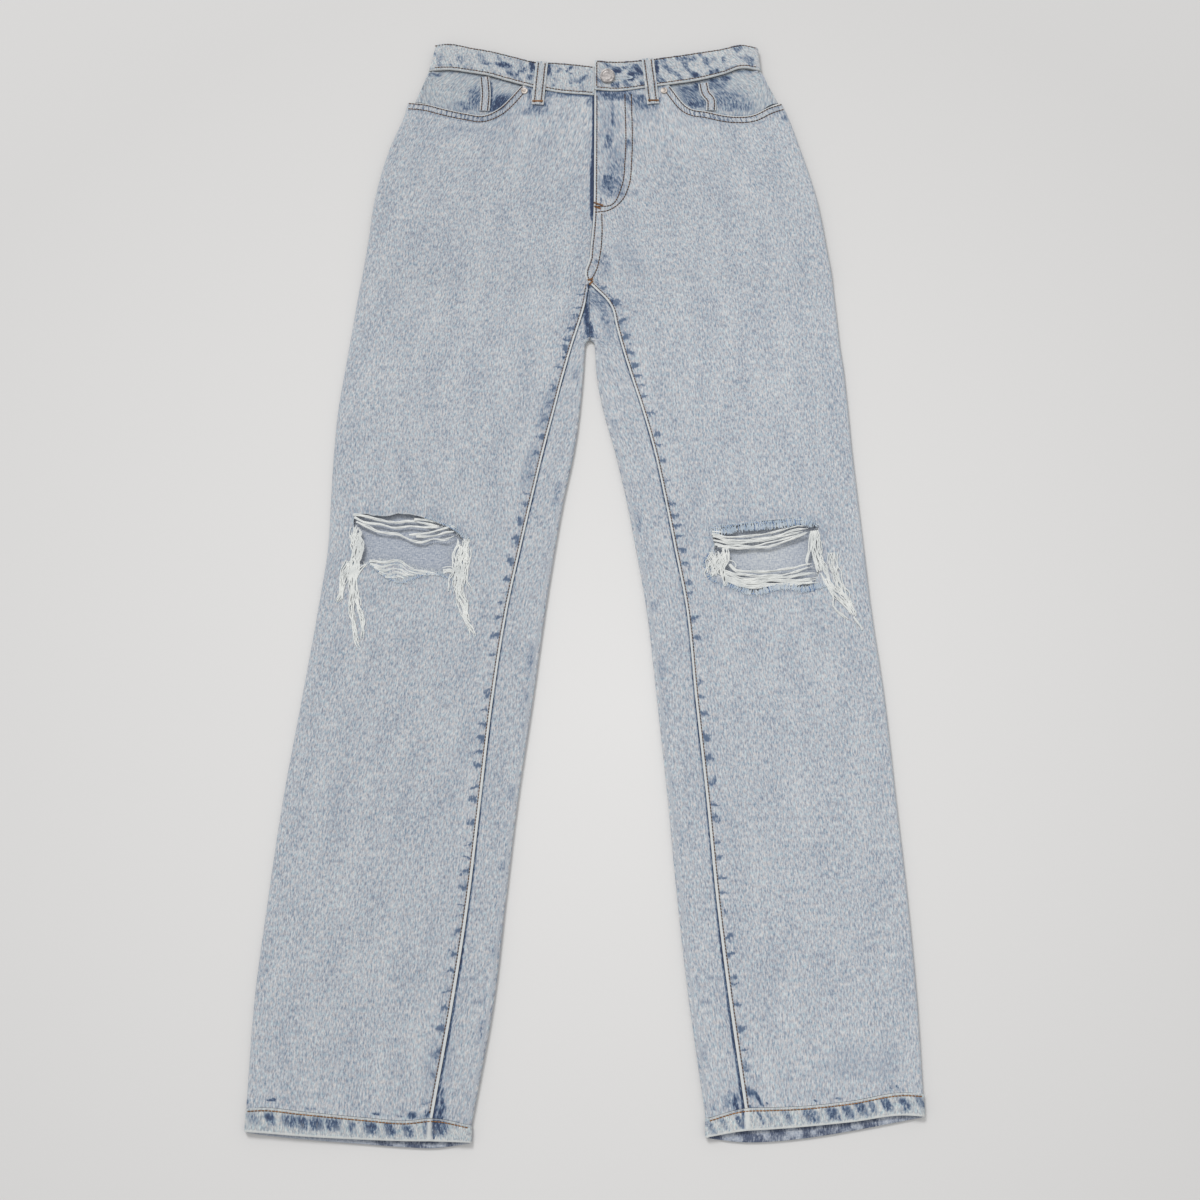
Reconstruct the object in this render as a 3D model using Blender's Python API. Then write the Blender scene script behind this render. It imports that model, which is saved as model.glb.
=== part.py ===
"""Ripped straight-leg five-pocket jeans, laid flat on their back with the front up.

Frame: +X to the wearer's left, +Y towards the waist, +Z up off the surface that
they lie on, origin under the middle of the garment.  "left" and "right" in the
names are the -X and the +X side.  Lengths below are in millimetres.
Every cloth piece is a wall: a middle surface of rows and columns, thickened.
"""
import bmesh
import bpy
import numpy as np

MM = 0.001

# Walls and seams
CLOTH = 1.4              # one layer of denim
BAND = 2.6               # waistband: two layers
HEM = 2.6                # turned-up hem: three layers, pressed
FACING = 1.2             # denim facing under a pocket mouth
STRIP = 1.4              # belt loops, back pockets
THREADS = 1.2            # a flattened bundle of loose weft threads
SEAM_GAP = 0.3           # between neighbouring pieces
SEAM_LIP = 8.0           # the front wraps this far under the outer fold
RIDGE = 0.6              # rise of a front's edge along the fly and inseam

# Heights of the flattened garment
EDGE_GAP = 2.2           # between front and back, beside a fold
HEM_GAP = 1.2            # inside the hems
BAND_GAP = 1.4           # inside the waistband
MIDDLE_GAP = 3.4         # and in the middle of a leg
FLAT_RUN = 45.0          # from the fold to the full gap
HIP_LIFT = 1.8           # back cloth above the back pockets and loops it rests on
LIFT_FROM, LIFT_TO = 268.0, 300.0
WAIST_FROM, WAIST_TO = 420.0, 490.0
FOLD_RADIUS = 1.8        # of the middle surface, in plan
FOLD_STEPS = 4

MIDDLE = (-0.600, -0.331)  # brings the tables' origin under the middle of the garment
CENTRE_X, CROTCH_Y = 3.9, 219.7      # where the centre-back seam folds on to the top
JUNCTION_X, JUNCTION_Y = 2.9, 279.0  # where fly, inseams and centre-back seam meet
LEAN_X = 0.0155          # underneath, the centre line leans this much per unit of height

# Each leg, from the pocket to the hem seam: outer fold, front's inner edge
# (fly, then inseam) and, below the crotch, the inner fold.
LEG_COLUMNS = ("level", "side_x", "side_y", "seam_x", "seam_y", "fold_x", "fold_y")
LEFT_LEG = [
    ("pocket", -179.8, 479.6, 7.9, 489.0, None, None),
    ("yoke", -182.4, 468.0, 7.9, 476.0, None, None),
    ("fly", -196.8, 427.6, 7.7, 412.0, None, None),
    ("seat", -209.8, 371.7, 7.0, 352.4, None, None),
    ("hip", -215.8, 316.6, 3.6, 308.0, None, None),
    ("junction", -220.3, 284.0, 2.9, 279.0, None, None),
    ("under junction", -220.9, 280.5, 2.3, 275.5, None, None),
    ("rise", -224.6, 254.0, -1.6, 253.0, None, None),
    ("low rise", -227.2, 233.0, -7.6, 232.0, None, None),
    ("crotch", -229.2, 217.0, -12.2, 217.0, 3.9, 219.7),
    ("round", -230.7, 206.0, -15.2, 206.0, 0.2, 216.6),
    ("under crotch", -232.6, 191.0, -19.2, 190.5, -1.2, 205.0),
    ("gusset", -234.8, 174.0, -23.6, 173.0, -2.6, 181.0),
    ("thigh", -237.4, 154.0, -28.2, 153.0, -4.8, 154.0),
    ("mid thigh", -240.6, 104.0, -40.0, 103.0, -10.9, 104.0),
    ("over knee", -241.8, 53.0, -51.0, 52.0, -20.8, 53.0),
    ("knee", -243.0, 3.0, -61.4, 2.0, -28.9, 3.0),
    ("under knee", -248.6, -46.3, -71.2, -47.6, -36.0, -46.3),
    ("calf", -261.6, -143.3, -84.9, -144.4, -48.2, -143.3),
    ("low calf", -274.7, -237.6, -94.4, -238.5, -60.9, -237.6),
    ("shin", -284.2, -329.2, -103.6, -330.0, -70.7, -329.2),
    ("ankle", -292.0, -418.4, -115.7, -420.0, -80.1, -420.0),
    ("hem seam", -294.8, -512.5, -132.0, -521.0, -98.0, -527.0),
]
RIGHT_LEG = [
    ("pocket", 197.0, 478.6, 7.9, 489.0, None, None),
    ("yoke", 201.2, 468.0, 7.9, 476.0, None, None),
    ("fly", 214.0, 427.6, 7.7, 412.0, None, None),
    ("seat", 228.9, 371.7, 7.0, 352.4, None, None),
    ("hip", 237.2, 316.6, 3.6, 308.0, None, None),
    ("junction", 241.6, 284.0, 2.9, 279.0, None, None),
    ("under junction", 241.9, 280.5, 6.4, 275.5, None, None),
    ("rise", 244.0, 254.0, 24.5, 254.0, None, None),
    ("low rise", 245.4, 233.0, 29.4, 233.0, None, None),
    ("crotch", 246.5, 217.0, 33.3, 217.0, 3.9, 219.7),
    ("round", 247.6, 206.0, 36.2, 206.0, 7.6, 216.6),
    ("under crotch", 249.4, 191.0, 40.6, 190.5, 9.0, 205.0),
    ("gusset", 250.6, 174.0, 45.8, 173.0, 10.4, 181.0),
    ("thigh", 252.0, 154.0, 51.9, 153.0, 15.0, 154.0),
    ("mid thigh", 254.8, 104.0, 65.2, 103.0, 27.6, 104.0),
    ("over knee", 258.7, 53.0, 75.3, 52.0, 38.8, 53.0),
    ("knee", 262.6, 3.0, 84.2, 2.0, 47.6, 3.0),
    ("under knee", 266.4, -46.3, 93.0, -47.6, 55.8, -46.3),
    ("calf", 276.4, -143.3, 101.6, -144.4, 66.2, -143.3),
    ("low calf", 283.1, -237.6, 110.4, -238.5, 75.3, -237.6),
    ("shin", 289.7, -329.2, 117.9, -330.0, 83.0, -329.2),
    ("ankle", 294.2, -418.4, 127.6, -419.5, 92.4, -420.0),
    ("hem seam", 296.0, -499.7, 139.6, -512.5, 105.6, -520.8),
]
ROW_SPACING = 100.0       # largest step between rows down a leg
FLY_COLUMNS = 4          # columns of a front between its pocket's corner and the fly
BACK_COLUMNS = 5         # columns across the underside of a leg
STRIP_COLUMNS = 3        # and across what shows of the back beside the inseam

# Waistband, from its left side fold to its right one; the right end laps over the left
WAIST_COLUMNS = ("place", "x", "top_y", "seam_y")
LEFT_WAIST = [
    ("side", -158.0, 544.2, 515.4),
    ("hip", -140.0, 546.6, 516.6),
    ("pocket", -116.0, 541.8, 513.3),
    ("dip", -97.0, 538.0, 509.6),
    ("over dip", -80.0, 533.4, 504.2),
    ("loop", -52.0, 525.8, 496.0),
    ("inside", -28.0, 524.4, 490.8),
    ("end", 8.0, 520.4, 487.6),
]
RIGHT_WAIST = [
    ("end", 8.0, 527.2, 493.6),
    ("buttonhole", 30.0, 526.0, 492.2),
    ("loop", 58.0, 528.0, 495.8),
    ("dip", 85.0, 531.8, 500.0),
    ("pocket", 114.0, 536.6, 504.8),
    ("over pocket", 138.0, 540.8, 511.6),
    ("hip", 158.0, 545.4, 518.6),
    ("side", 176.0, 541.0, 515.6),
]
BAND_OVERHANG = {"left": -2.0, "right": 0.6}      # side folds at the seam, past the table
BAND_LEAN = {"left": 7.0, "right": -2.4}          # and their lean in up to the top edge
HIDE_BACK = 2.0          # the back band's edges stay this far inside the front's

# Pocket mouths: the scooped top edge of each front, from the side to the band
POCKET_COLUMNS = ("place", "left_x", "left_y", "right_x", "right_y")
POCKET = [
    ("side", -179.8, 479.6, 197.0, 478.6),
    ("outer", -162.0, 477.6, 184.0, 474.0),
    ("run", -144.0, 472.4, 168.0, 465.4),
    ("low", -120.0, 466.7, 148.0, 463.6),
    ("turn", -104.0, 464.6, 122.0, 468.8),
    ("rise", -89.0, 471.8, 100.0, 476.0),
    ("corner", -65.0, 499.4, 84.0, 498.8),
]
FACING_REACH = 7.0       # the facing runs this far under the front
FACING_DROP = 1.75       # and lies this much lower than the front
FACING_INSET = {"left": 7.0, "right": 3.4}     # the front stands this far out at the side
MOUTH_GAP = 0.4          # and this far below the facing there
MOUTH_BLEND = 110.0      # rows of a front bend with its mouth down to here

YOKE_SIDE_Y, YOKE_CENTRE_Y = 468.0, 442.0

# Hem bands: their seam, and the lower edges of the front and of the back layer
HEM_COLUMNS = ("x", "seam_y", "front_y", "back_y")
LEFT_HEM = [
    (-294.8, -512.5, -532.6, -532.6),
    (-280.0, -511.8, -533.6, -534.8),
    (-247.0, -515.0, -536.2, -538.2),
    (-190.0, -520.4, -539.2, -542.6),
    (-155.0, -523.0, -540.4, -545.2),
    (-132.0, -521.0, -540.6, -546.0),
    (-98.0, -527.0, -541.8, -541.8),
]
RIGHT_HEM = [
    (105.6, -521.5, -537.4, -537.4),
    (139.6, -512.5, -531.8, -541.0),
    (160.0, -511.8, -530.6, -540.6),
    (187.0, -510.8, -528.6, -538.2),
    (231.0, -506.4, -524.4, -531.6),
    (280.0, -498.9, -518.6, -522.6),
    (296.0, -499.7, -519.6, -519.6),
]

# Torn knees: the hole's edges across the front, columns x, upper_y, lower_y
CUT_CLEAR, CUT_TOP = 0.6, 20.0   # the cutter's height: above the back, past the front
LEFT_HOLE = [(-219.0, 36.0, 28.0), (-211.0, 39.0, -13.0), (-203.0, 37.2, -9.5),
             (-190.0, 36.4, -8.0), (-177.0, 38.8, -7.6), (-163.0, 37.2, -14.6),
             (-147.0, 33.0, -18.0), (-133.0, 28.0, -20.0), (-122.0, 21.6, -21.0),
             (-115.5, 15.0, -4.0)]
RIGHT_HOLE = [(120.0, 25.6, 14.0), (130.0, 27.0, -28.0), (141.0, 28.0, -36.0),
              (151.0, 28.8, -40.0), (162.0, 30.4, -40.4), (177.0, 32.0, -36.0),
              (190.0, 33.4, -35.0), (202.0, 33.8, -34.8), (212.0, 31.4, -33.4),
              (220.0, 27.0, -16.0)]

# Loose white weft at the tears: each bundle's middle line, columns x, y, half_width
BUNDLES = {
    "knee_left_upper_threads": [(-222.0, 34.0, 4.0), (-203.0, 28.5, 6.5), (-184.0, 24.0, 7.0),
                                (-164.0, 21.0, 6.5), (-146.0, 19.0, 6.0), (-128.0, 17.5, 4.0)],
    "knee_left_lower_threads": [(-207.0, -15.0, 3.0), (-193.0, -21.5, 4.5), (-176.0, -26.5, 4.5),
                                (-160.0, -25.0, 4.0), (-144.0, -22.6, 3.5), (-130.0, -21.5, 2.5)],
    "knee_left_outer_fringe": [(-217.0, 20.0, 4.0), (-216.0, 0.0, 6.0), (-216.0, -23.0, 5.5),
                               (-218.5, -48.0, 4.0), (-215.0, -70.0, 3.5), (-210.0, -90.0, 2.5)],
    "knee_left_inner_fringe": [(-118.0, 14.0, 4.0), (-115.0, -8.0, 6.0), (-115.5, -36.0, 7.0),
                               (-113.0, -57.0, 4.0), (-108.0, -76.0, 3.0), (-103.5, -88.0, 2.0)],
    "knee_right_upper_threads": [(115.5, 23.0, 3.0), (138.0, 12.5, 6.5), (164.0, 8.5, 7.0),
                                 (192.0, 12.5, 6.5), (224.0, 24.5, 3.5)],
    "knee_right_lower_threads": [(136.0, -25.0, 4.0), (150.0, -28.5, 6.5), (182.0, -30.0, 7.0),
                                 (204.0, -26.8, 6.0), (213.5, -24.5, 4.0)],
    "knee_right_inner_fringe": [(120.0, 13.0, 3.0), (122.5, 3.0, 8.0), (123.0, -11.0, 9.0),
                                (126.0, -26.0, 5.0), (129.5, -37.0, 3.0)],
    "knee_right_outer_fringe": [(218.0, 14.0, 4.0), (222.0, -2.0, 7.0), (229.0, -23.0, 7.5),
                                (239.0, -41.0, 6.0), (250.0, -62.0, 3.0)],
}

# Belt loops: middle line, top to bottom end
LOOP_WIDTH = 12.0
FRONT_LOOPS = {"belt_loop_front_left": [(-45.0, 524.4), (-49.2, 476.4)],
               "belt_loop_front_right": [(61.8, 528.2), (67.3, 477.2)]}
BACK_LOOPS = {"belt_loop_back_left": -88.0, "belt_loop_back_middle": 8.0,
              "belt_loop_back_right": 104.0}
BACK_LOOP_LENGTH = 48.0

# Watch-pocket edge strips on the facings, from the band to the mouth
FACING_STRIPS = {"facing_strip_left": [(-103.3, 508.7), (-101.6, 490.0), (-102.6, 470.0)],
                 "facing_strip_right": [(117.8, 501.5), (120.4, 489.5), (125.0, 483.0),
                                        (125.4, 470.5)]}
FACING_STRIP_WIDTH = 10.0

# Back pockets: five-sided patches, half widths at three heights
BACK_POCKETS = {"back_pocket_left": -104.0, "back_pocket_right": 118.0}
BACK_POCKET_ROWS = [("mouth", 432.0, 76.0), ("waist", 370.0, 72.0), ("shoulder", 318.0, 68.0),
                    ("point", 300.0, 2.0)]

# Metal
BUTTON_AT, BUTTON_RADIUS, BUTTON_RISE = (21.2, 507.4), 7.5, 3.0
BUTTON_TILT = 14.0       # degrees, the head leans towards the hems
RIVETS = {"rivet_left": (-62.6, 492.4), "rivet_right": (78.2, 492.6)}
RIVET_RADIUS, RIVET_RISE = 3.4, 1.2

# Largest soft folds in the fronts, each a trough or ridge between two points:
# columns from_x, from_y, to_x, to_y, half_width, rise
CREASES = [
    (12.0, 300.0, 38.0, 236.0, 16.0, -0.9),
    (-10.0, 300.0, -60.0, 262.0, 18.0, -0.6),
    (60.0, 300.0, 130.0, 250.0, 22.0, 0.5),
    (-212.0, 330.0, -150.0, 300.0, 18.0, 0.5),
    (-200.0, -90.0, -150.0, -70.0, 18.0, 0.6),
    (150.0, -80.0, 215.0, -96.0, 18.0, 0.5),
    (-250.0, -250.0, -190.0, -262.0, 20.0, -0.5),
    (180.0, -300.0, 240.0, -290.0, 20.0, -0.5),
]

# ---------------------------------------------------------------- curves


def smoothstep(value, low=0.0, high=1.0):
    """0 below low, 1 above high, with a smooth run between."""
    t = np.clip((np.asarray(value, float) - low) / (high - low), 0.0, 1.0)
    return t * t * (3.0 - 2.0 * t)


def spline(knots, values, at):
    """Smooth curve through a table's column; knots rise."""
    knots = np.asarray(knots, float)
    values = np.asarray(values, float)
    slopes = np.gradient(values, knots, axis=0)
    at = np.clip(np.asarray(at, float), knots[0], knots[-1])
    i = np.clip(np.searchsorted(knots, at, side="right") - 1, 0, len(knots) - 2)
    step = knots[i + 1] - knots[i]
    t = (at - knots[i]) / step
    return ((2 * t**3 - 3 * t**2 + 1) * values[i] + (t**3 - 2 * t**2 + t) * step * slopes[i]
            + (3 * t**2 - 2 * t**3) * values[i + 1] + (t**3 - t**2) * step * slopes[i + 1])


def normals_of(points, sign):
    """Unit normals in plan of a polyline, turned outward by sign."""
    run = np.gradient(points, axis=0)
    turned = np.stack([run[:, 1], -run[:, 0]], axis=1) * sign
    return turned / np.linalg.norm(turned, axis=1, keepdims=True)


class Leg:
    """One leg's edges, resampled into rows from the pocket to the hem seam."""

    def __init__(self, table, sign):
        self.sign = sign
        column = {name: [row[i] for row in table] for i, name in enumerate(LEG_COLUMNS)}
        levels = [-y for y in column["side_y"]]
        rows = [levels[0]]
        for low, high in zip(levels, levels[1:]):
            pieces = max(1, int(np.ceil((high - low) / ROW_SPACING)))
            rows += [low + (high - low) * (k + 1) / pieces for k in range(pieces)]
        self.rows = np.array(rows)
        self.side = self.curve(levels, column, "side", self.rows)
        self.seam = self.curve(levels, column, "seam", self.rows)
        first = column["fold_x"].index(CENTRE_X)
        folded = {name: column[name][first:] for name in ("fold_x", "fold_y")}
        self.crotch_row = int(np.argmin(abs(self.rows - levels[first])))
        self.fold = self.curve(levels[first:], folded, "fold", self.rows[self.crotch_row:])
        self.side_normal = normals_of(self.side, -sign)
        self.fold_normal = normals_of(self.fold, sign)
        self.fold_normal[0] = (0.0, -1.0)

    @staticmethod
    def curve(levels, column, name, at):
        return np.stack([spline(levels, column[name + "_x"], at),
                         spline(levels, column[name + "_y"], at)], axis=1)

    def level_of(self, y):
        return int(np.argmin(abs(self.side[:, 1] - y)))


LEGS = {"left": Leg(LEFT_LEG, -1.0), "right": Leg(RIGHT_LEG, 1.0)}


def centre_x(y):
    """Centre line: fly on top, centre-back seam underneath."""
    return CENTRE_X + LEAN_X * np.maximum(np.asarray(y, float) - CROTCH_Y, 0.0)


def waist(x, column, side):
    """An edge of the waistband: of its left or right end, or "back" underneath."""
    rows = {"left": LEFT_WAIST, "right": RIGHT_WAIST,
            "back": LEFT_WAIST + RIGHT_WAIST[1:]}[side]
    index = WAIST_COLUMNS.index(column)
    return spline([row[1] for row in rows], [row[index] for row in rows], x)


def hem_y(x, column, side):
    """The hem's seam or one of its lower edges."""
    rows = LEFT_HEM if side == "left" else RIGHT_HEM
    index = HEM_COLUMNS.index(column)
    return spline([row[0] for row in rows], [row[index] for row in rows], x)


def pocket_y(x, side):
    """Scooped mouth of a front pocket."""
    ix = POCKET_COLUMNS.index(side + "_x")
    rows = sorted(POCKET, key=lambda row: row[ix])
    return spline([row[ix] for row in rows], [row[ix + 1] for row in rows], x)


# ---------------------------------------------------------------- heights


def edge_distance(x, y):
    """Distance in plan from the nearest fold of the flattened garment."""
    x, y = np.asarray(x, float), np.asarray(y, float)
    near = np.full(np.broadcast(x, y).shape, 1e9)
    for leg in LEGS.values():
        side_x = np.interp(-y, -leg.side[:, 1], leg.side[:, 0])
        near = np.minimum(near, leg.sign * (side_x - x))
        fold_x = np.interp(-y, -leg.fold[:, 1], leg.fold[:, 0])
        own = leg.sign * (x - fold_x)
        near = np.where((y < CROTCH_Y) & (own > -10.0), np.minimum(near, own), near)
    above = np.hypot(x - CENTRE_X, y - CROTCH_Y)
    return np.where(y >= CROTCH_Y, np.minimum(near, above), near)


def crease(x, y):
    """Sum of the soft troughs and ridges."""
    total = np.zeros(np.broadcast(x, y).shape)
    for ax, ay, bx, by, half, rise in CREASES:
        run = np.array([bx - ax, by - ay])
        length = np.hypot(*run)
        along = ((x - ax) * run[0] + (y - ay) * run[1]) / length
        across = (-(x - ax) * run[1] + (y - ay) * run[0]) / length
        past = np.maximum(np.maximum(-along, along - length), 0.0)
        total = total + rise * np.exp(-(across**2 + past**2) / (half * half * 0.5))
    return total


def lift(y):
    return HIP_LIFT * smoothstep(y, LIFT_FROM, LIFT_TO)


def gap(x, y):
    """Room between the front's and the back's inner faces."""
    full = smoothstep(edge_distance(x, y), 0.0, FLAT_RUN)
    full = full * (1.0 - smoothstep(y, WAIST_FROM, WAIST_TO))
    return EDGE_GAP + full * (MIDDLE_GAP - EDGE_GAP + crease(x, y))


def back_z(x, y):
    """Middle surface of the back cloth."""
    return lift(y) + CLOTH / 2 + 0.0 * x


def front_z(x, y):
    """Middle surface of the front cloth."""
    return lift(y) + 1.5 * CLOTH + gap(x, y)


# ---------------------------------------------------------------- meshes


def material(name, colour, roughness, metallic=0.0):
    made = bpy.data.materials.new(name)
    made.use_nodes = True
    shader = made.node_tree.nodes["Principled BSDF"]
    shader.inputs["Base Color"].default_value = (*colour, 1.0)
    shader.inputs["Roughness"].default_value = roughness
    shader.inputs["Metallic"].default_value = metallic
    return made


def add_object(name, mesh_data, made_material):
    """Mesh of points in millimetres, closed, turned outward, in metres."""
    points, faces = mesh_data
    mesh = bpy.data.meshes.new(name)
    mesh.from_pydata((np.asarray(points) * MM).tolist(), [], faces)
    work = bmesh.new()
    work.from_mesh(mesh)
    bmesh.ops.triangulate(work, faces=work.faces[:])
    bmesh.ops.recalc_face_normals(work, faces=work.faces[:])
    work.to_mesh(mesh)
    work.free()
    mesh.shade_smooth()
    mesh.set_sharp_from_angle(angle=np.radians(40.0))
    mesh.materials.append(made_material)
    made = bpy.data.objects.new(name, mesh)
    bpy.context.scene.collection.objects.link(made)
    return made


class Surface:
    """Open middle surface made of grids that share their border points."""

    def __init__(self):
        self.points = []
        self.faces = []
        self.known = {}

    def point(self, place):
        key = tuple(np.round(place, 4))
        if key not in self.known:
            self.known[key] = len(self.points)
            self.points.append(np.asarray(place, float))
        return self.known[key]

    def grid(self, rows, closed=False):
        index = [[self.point(place) for place in row] for row in rows]
        for upper, lower in zip(index, index[1:]):
            last = len(upper) if closed else len(upper) - 1
            for c in range(last):
                n = (c + 1) % len(upper)
                corners = [upper[c], lower[c], lower[n], upper[n]]
                face = [v for k, v in enumerate(corners) if v != corners[k - 1]]
                if len(face) > 2:
                    self.faces.append(face)
        return self

    def thick(self, wall):
        """Wall of even thickness about the surface, as (points, faces)."""
        points = np.array(self.points)
        normal = np.zeros_like(points)
        for face in self.faces:
            ring = points[face]
            area = sum(np.cross(ring[k - 1], ring[k]) for k in range(len(face)))
            normal[face] += area
        on_centre = abs(points[:, 0] - centre_x(points[:, 1])) < 2.5 * SEAM_GAP
        normal[on_centre, 0] = 0.0
        normal /= np.linalg.norm(normal, axis=1, keepdims=True)
        half = np.broadcast_to(np.asarray(wall, float) / 2.0, (len(points),))[:, None]
        count = len(points)
        shell = np.vstack([points + normal * half, points - normal * half])
        faces = [list(face) for face in self.faces]
        faces += [[v + count for v in reversed(face)] for face in self.faces]
        edges = {}
        for face in self.faces:
            for k in range(len(face)):
                edges[(face[k - 1], face[k])] = True
        for a, b in edges:
            if (b, a) not in edges:
                faces.append([b, a, a + count, b + count])
        return shell, faces


def fold_arc(centre, normal, low_z, high_z):
    """Points round a fold from the lower to the upper layer, ends included."""
    angles = np.linspace(-np.pi / 2, np.pi / 2, FOLD_STEPS + 1)
    middle, half = (low_z + high_z) / 2, (high_z - low_z) / 2
    return [(centre[0] + normal[0] * FOLD_RADIUS * np.cos(a),
             centre[1] + normal[1] * FOLD_RADIUS * np.cos(a),
             middle + half * np.sin(a)) for a in angles]


def between(a, b, count):
    """Points in plan from a to b, ends included."""
    a, b = np.asarray(a, float), np.asarray(b, float)
    return [a + (b - a) * k / count for k in range(count + 1)]


def fold_centre(edge, normal, wall=CLOTH):
    return edge - normal * (wall / 2 + FOLD_RADIUS)


# ---------------------------------------------------------------- fronts


def front_columns(side):
    """Fractions from the outer fold to the fly, with one on each pocket's corner."""
    ix = POCKET_COLUMNS.index(side + "_x")
    leg = LEGS[side]
    start, end = leg.side[0, 0], leg.seam[0, 0]
    marks = [(row[ix] - start) / (end - start) for row in POCKET[1:]]
    rest = np.linspace(marks[-1], 1.0, FLY_COLUMNS + 1)[1:]
    return np.array([0.0, *marks, *rest])


def front_top_y(x, side):
    """Top edge of a front: pocket mouth, then the waistband seam."""
    corner_x = POCKET[-1][POCKET_COLUMNS.index(side + "_x")]
    outside = LEGS[side].sign * (x - corner_x) > 0
    return np.where(outside, pocket_y(x, side), waist(x, "seam_y", side) - SEAM_GAP)


def front_rows(side):
    """Rows of a front's middle surface, waist to hem seam."""
    leg = LEGS[side]
    columns = front_columns(side)
    rows = []
    for r in range(len(leg.rows)):
        normal = leg.side_normal[r]
        centre = fold_centre(leg.side[r], normal)
        low = back_z(*centre)
        high = front_z(*centre)
        lip = centre - normal * (SEAM_LIP - FOLD_RADIUS - CLOTH / 2)
        row = [(*p, back_z(*p)) for p in between(lip, centre, 2)[:-1]]
        row += fold_arc(centre, normal, low, high)[:-1]
        toward = np.sign(centre[0] - leg.seam[r, 0])
        inner = leg.seam[r] + (toward * SEAM_GAP / 2, 0.0)
        start, end = fold_centre(leg.side[0], leg.side_normal[0]), leg.seam[0]
        drop = leg.side[0, 1] - leg.side[r, 1]
        fade = (1.0 - np.clip(drop / MOUTH_BLEND, 0.0, 1.0)) ** 2
        for u in columns:
            x, y = centre + (inner - centre) * u
            x0, y0 = start + (end - start) * u
            y += (front_top_y(x0, side) - y0) * fade * smoothstep(u, -0.02, 0.06)
            if r == len(leg.rows) - 1:
                y += (hem_y(x, "seam_y", side) - y) * smoothstep(u, 0.0, 0.05)
            rise = RIDGE * (1.0 if u == 1.0 else 0.0)
            row.append((x, y, front_z(x, y) + rise))
        rows.append(row)
    return rows


def hole_cutter(name, rows):
    """Upright prism through a torn knee, clear of the back."""
    outline = [(x, upper) for x, upper, _ in rows] + [(x, lower) for x, _, lower in rows[::-1]]
    low, high = CLOTH + CUT_CLEAR, CUT_TOP
    count = len(outline)
    points = [(x, y, z) for z in (low, high) for x, y in outline]
    faces = [list(range(count)), [count + k for k in range(count)]]
    faces += [[k, (k + 1) % count, (k + 1) % count + count, k + count] for k in range(count)]
    cutter = add_object(name, (points, faces), MATERIALS["cloth"])
    cutter.hide_render = True
    cutter.display_type = "WIRE"
    return cutter


def make_front(side, hole):
    surface = Surface().grid(front_rows(side))
    front = add_object("front_panel_" + side, surface.thick(CLOTH), MATERIALS["cloth"])
    cut = front.modifiers.new("torn knee", "BOOLEAN")
    cut.operation = "DIFFERENCE"
    cut.solver = "EXACT"
    cut.object = hole_cutter("knee_cutter_" + side, hole)


# ---------------------------------------------------------------- backs


def lip_end(leg, r):
    """Start of the back beside the front's lip."""
    return leg.side[r] - leg.side_normal[r] * (SEAM_LIP + SEAM_GAP)


def back_centre(leg, y, on_top=False):
    """The back's edge on the centre-back seam, underneath or folded on top."""
    x = centre_x(y)
    if on_top:
        x = CENTRE_X + (JUNCTION_X - CENTRE_X) * (y - CROTCH_Y) / (JUNCTION_Y - CROTCH_Y)
    return np.array([x + leg.sign * SEAM_GAP / 2, y])


def make_back(side):
    """Bottom sheet, inner fold, and the strip that shows inside the inseam."""
    leg = LEGS[side]
    first = leg.level_of(YOKE_SIDE_Y)
    crotch = leg.crotch_row
    surface = Surface()
    bottom, arcs, strip = [], [], []
    for r in range(first, len(leg.rows)):
        start = lip_end(leg, r)
        if r <= crotch:
            run = (leg.seam[r, 1] - CROTCH_Y) / (leg.seam[first, 1] - CROTCH_Y)
            end_y = CROTCH_Y + FOLD_RADIUS + CLOTH / 2 + run * (YOKE_CENTRE_Y - CROTCH_Y)
            end_y = min(end_y, YOKE_CENTRE_Y) if r > first else YOKE_CENTRE_Y
            end = back_centre(leg, max(end_y, CROTCH_Y + FOLD_RADIUS + CLOTH / 2))
        if r >= crotch:
            normal = leg.fold_normal[r - crotch]
            end = fold_centre(leg.fold[r - crotch], normal)
            if r == crotch:
                end[0] = back_centre(leg, end[1])[0]
            arcs.append(fold_arc(end, normal, back_z(*end), front_z(*end)))
        if r == first:
            start[1] -= SEAM_GAP
        bottom.append([(*p, back_z(*p)) for p in between(start, end, BACK_COLUMNS)])
        if r >= crotch:
            bottom[-1][-1] = arcs[-1][0]
    surface.grid(bottom)
    surface.grid(arcs)
    top_end = int(np.argmax(leg.seam[:, 1] < JUNCTION_Y - 1.0))
    for r in range(top_end, len(leg.rows)):
        inner = leg.seam[r] - (leg.sign * SEAM_GAP / 2, 0.0)
        if r < crotch:
            edge = back_centre(leg, leg.seam[r, 1], on_top=True)
        else:
            edge = np.array(arcs[r - crotch][-1][:2])
        places = between(edge, inner, STRIP_COLUMNS)
        if r == len(leg.rows) - 1:
            places = [(x, hem_y(x, "seam_y", side)) for x, _ in places]
        row = [(*p, front_z(*p)) for p in places]
        if r >= crotch:
            row[0] = arcs[r - crotch][-1]
        strip.append(row)
    surface.grid(strip)
    add_object("back_panel_" + side, surface.thick(CLOTH), MATERIALS["cloth"])


def yoke_stations(side):
    """Where the yoke's columns meet the waistband, from the side seam inward."""
    point, normal = facing_edge(side, 0.0)
    outer = (point - normal * (SEAM_LIP + SEAM_GAP))[0]
    inner = back_centre(LEGS[side], YOKE_CENTRE_Y)[0]
    rows = LEFT_WAIST[1:-1] if side == "left" else RIGHT_WAIST[-2:0:-1]
    return np.array([outer, *(x for _, x, _, _ in rows), inner])


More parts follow.
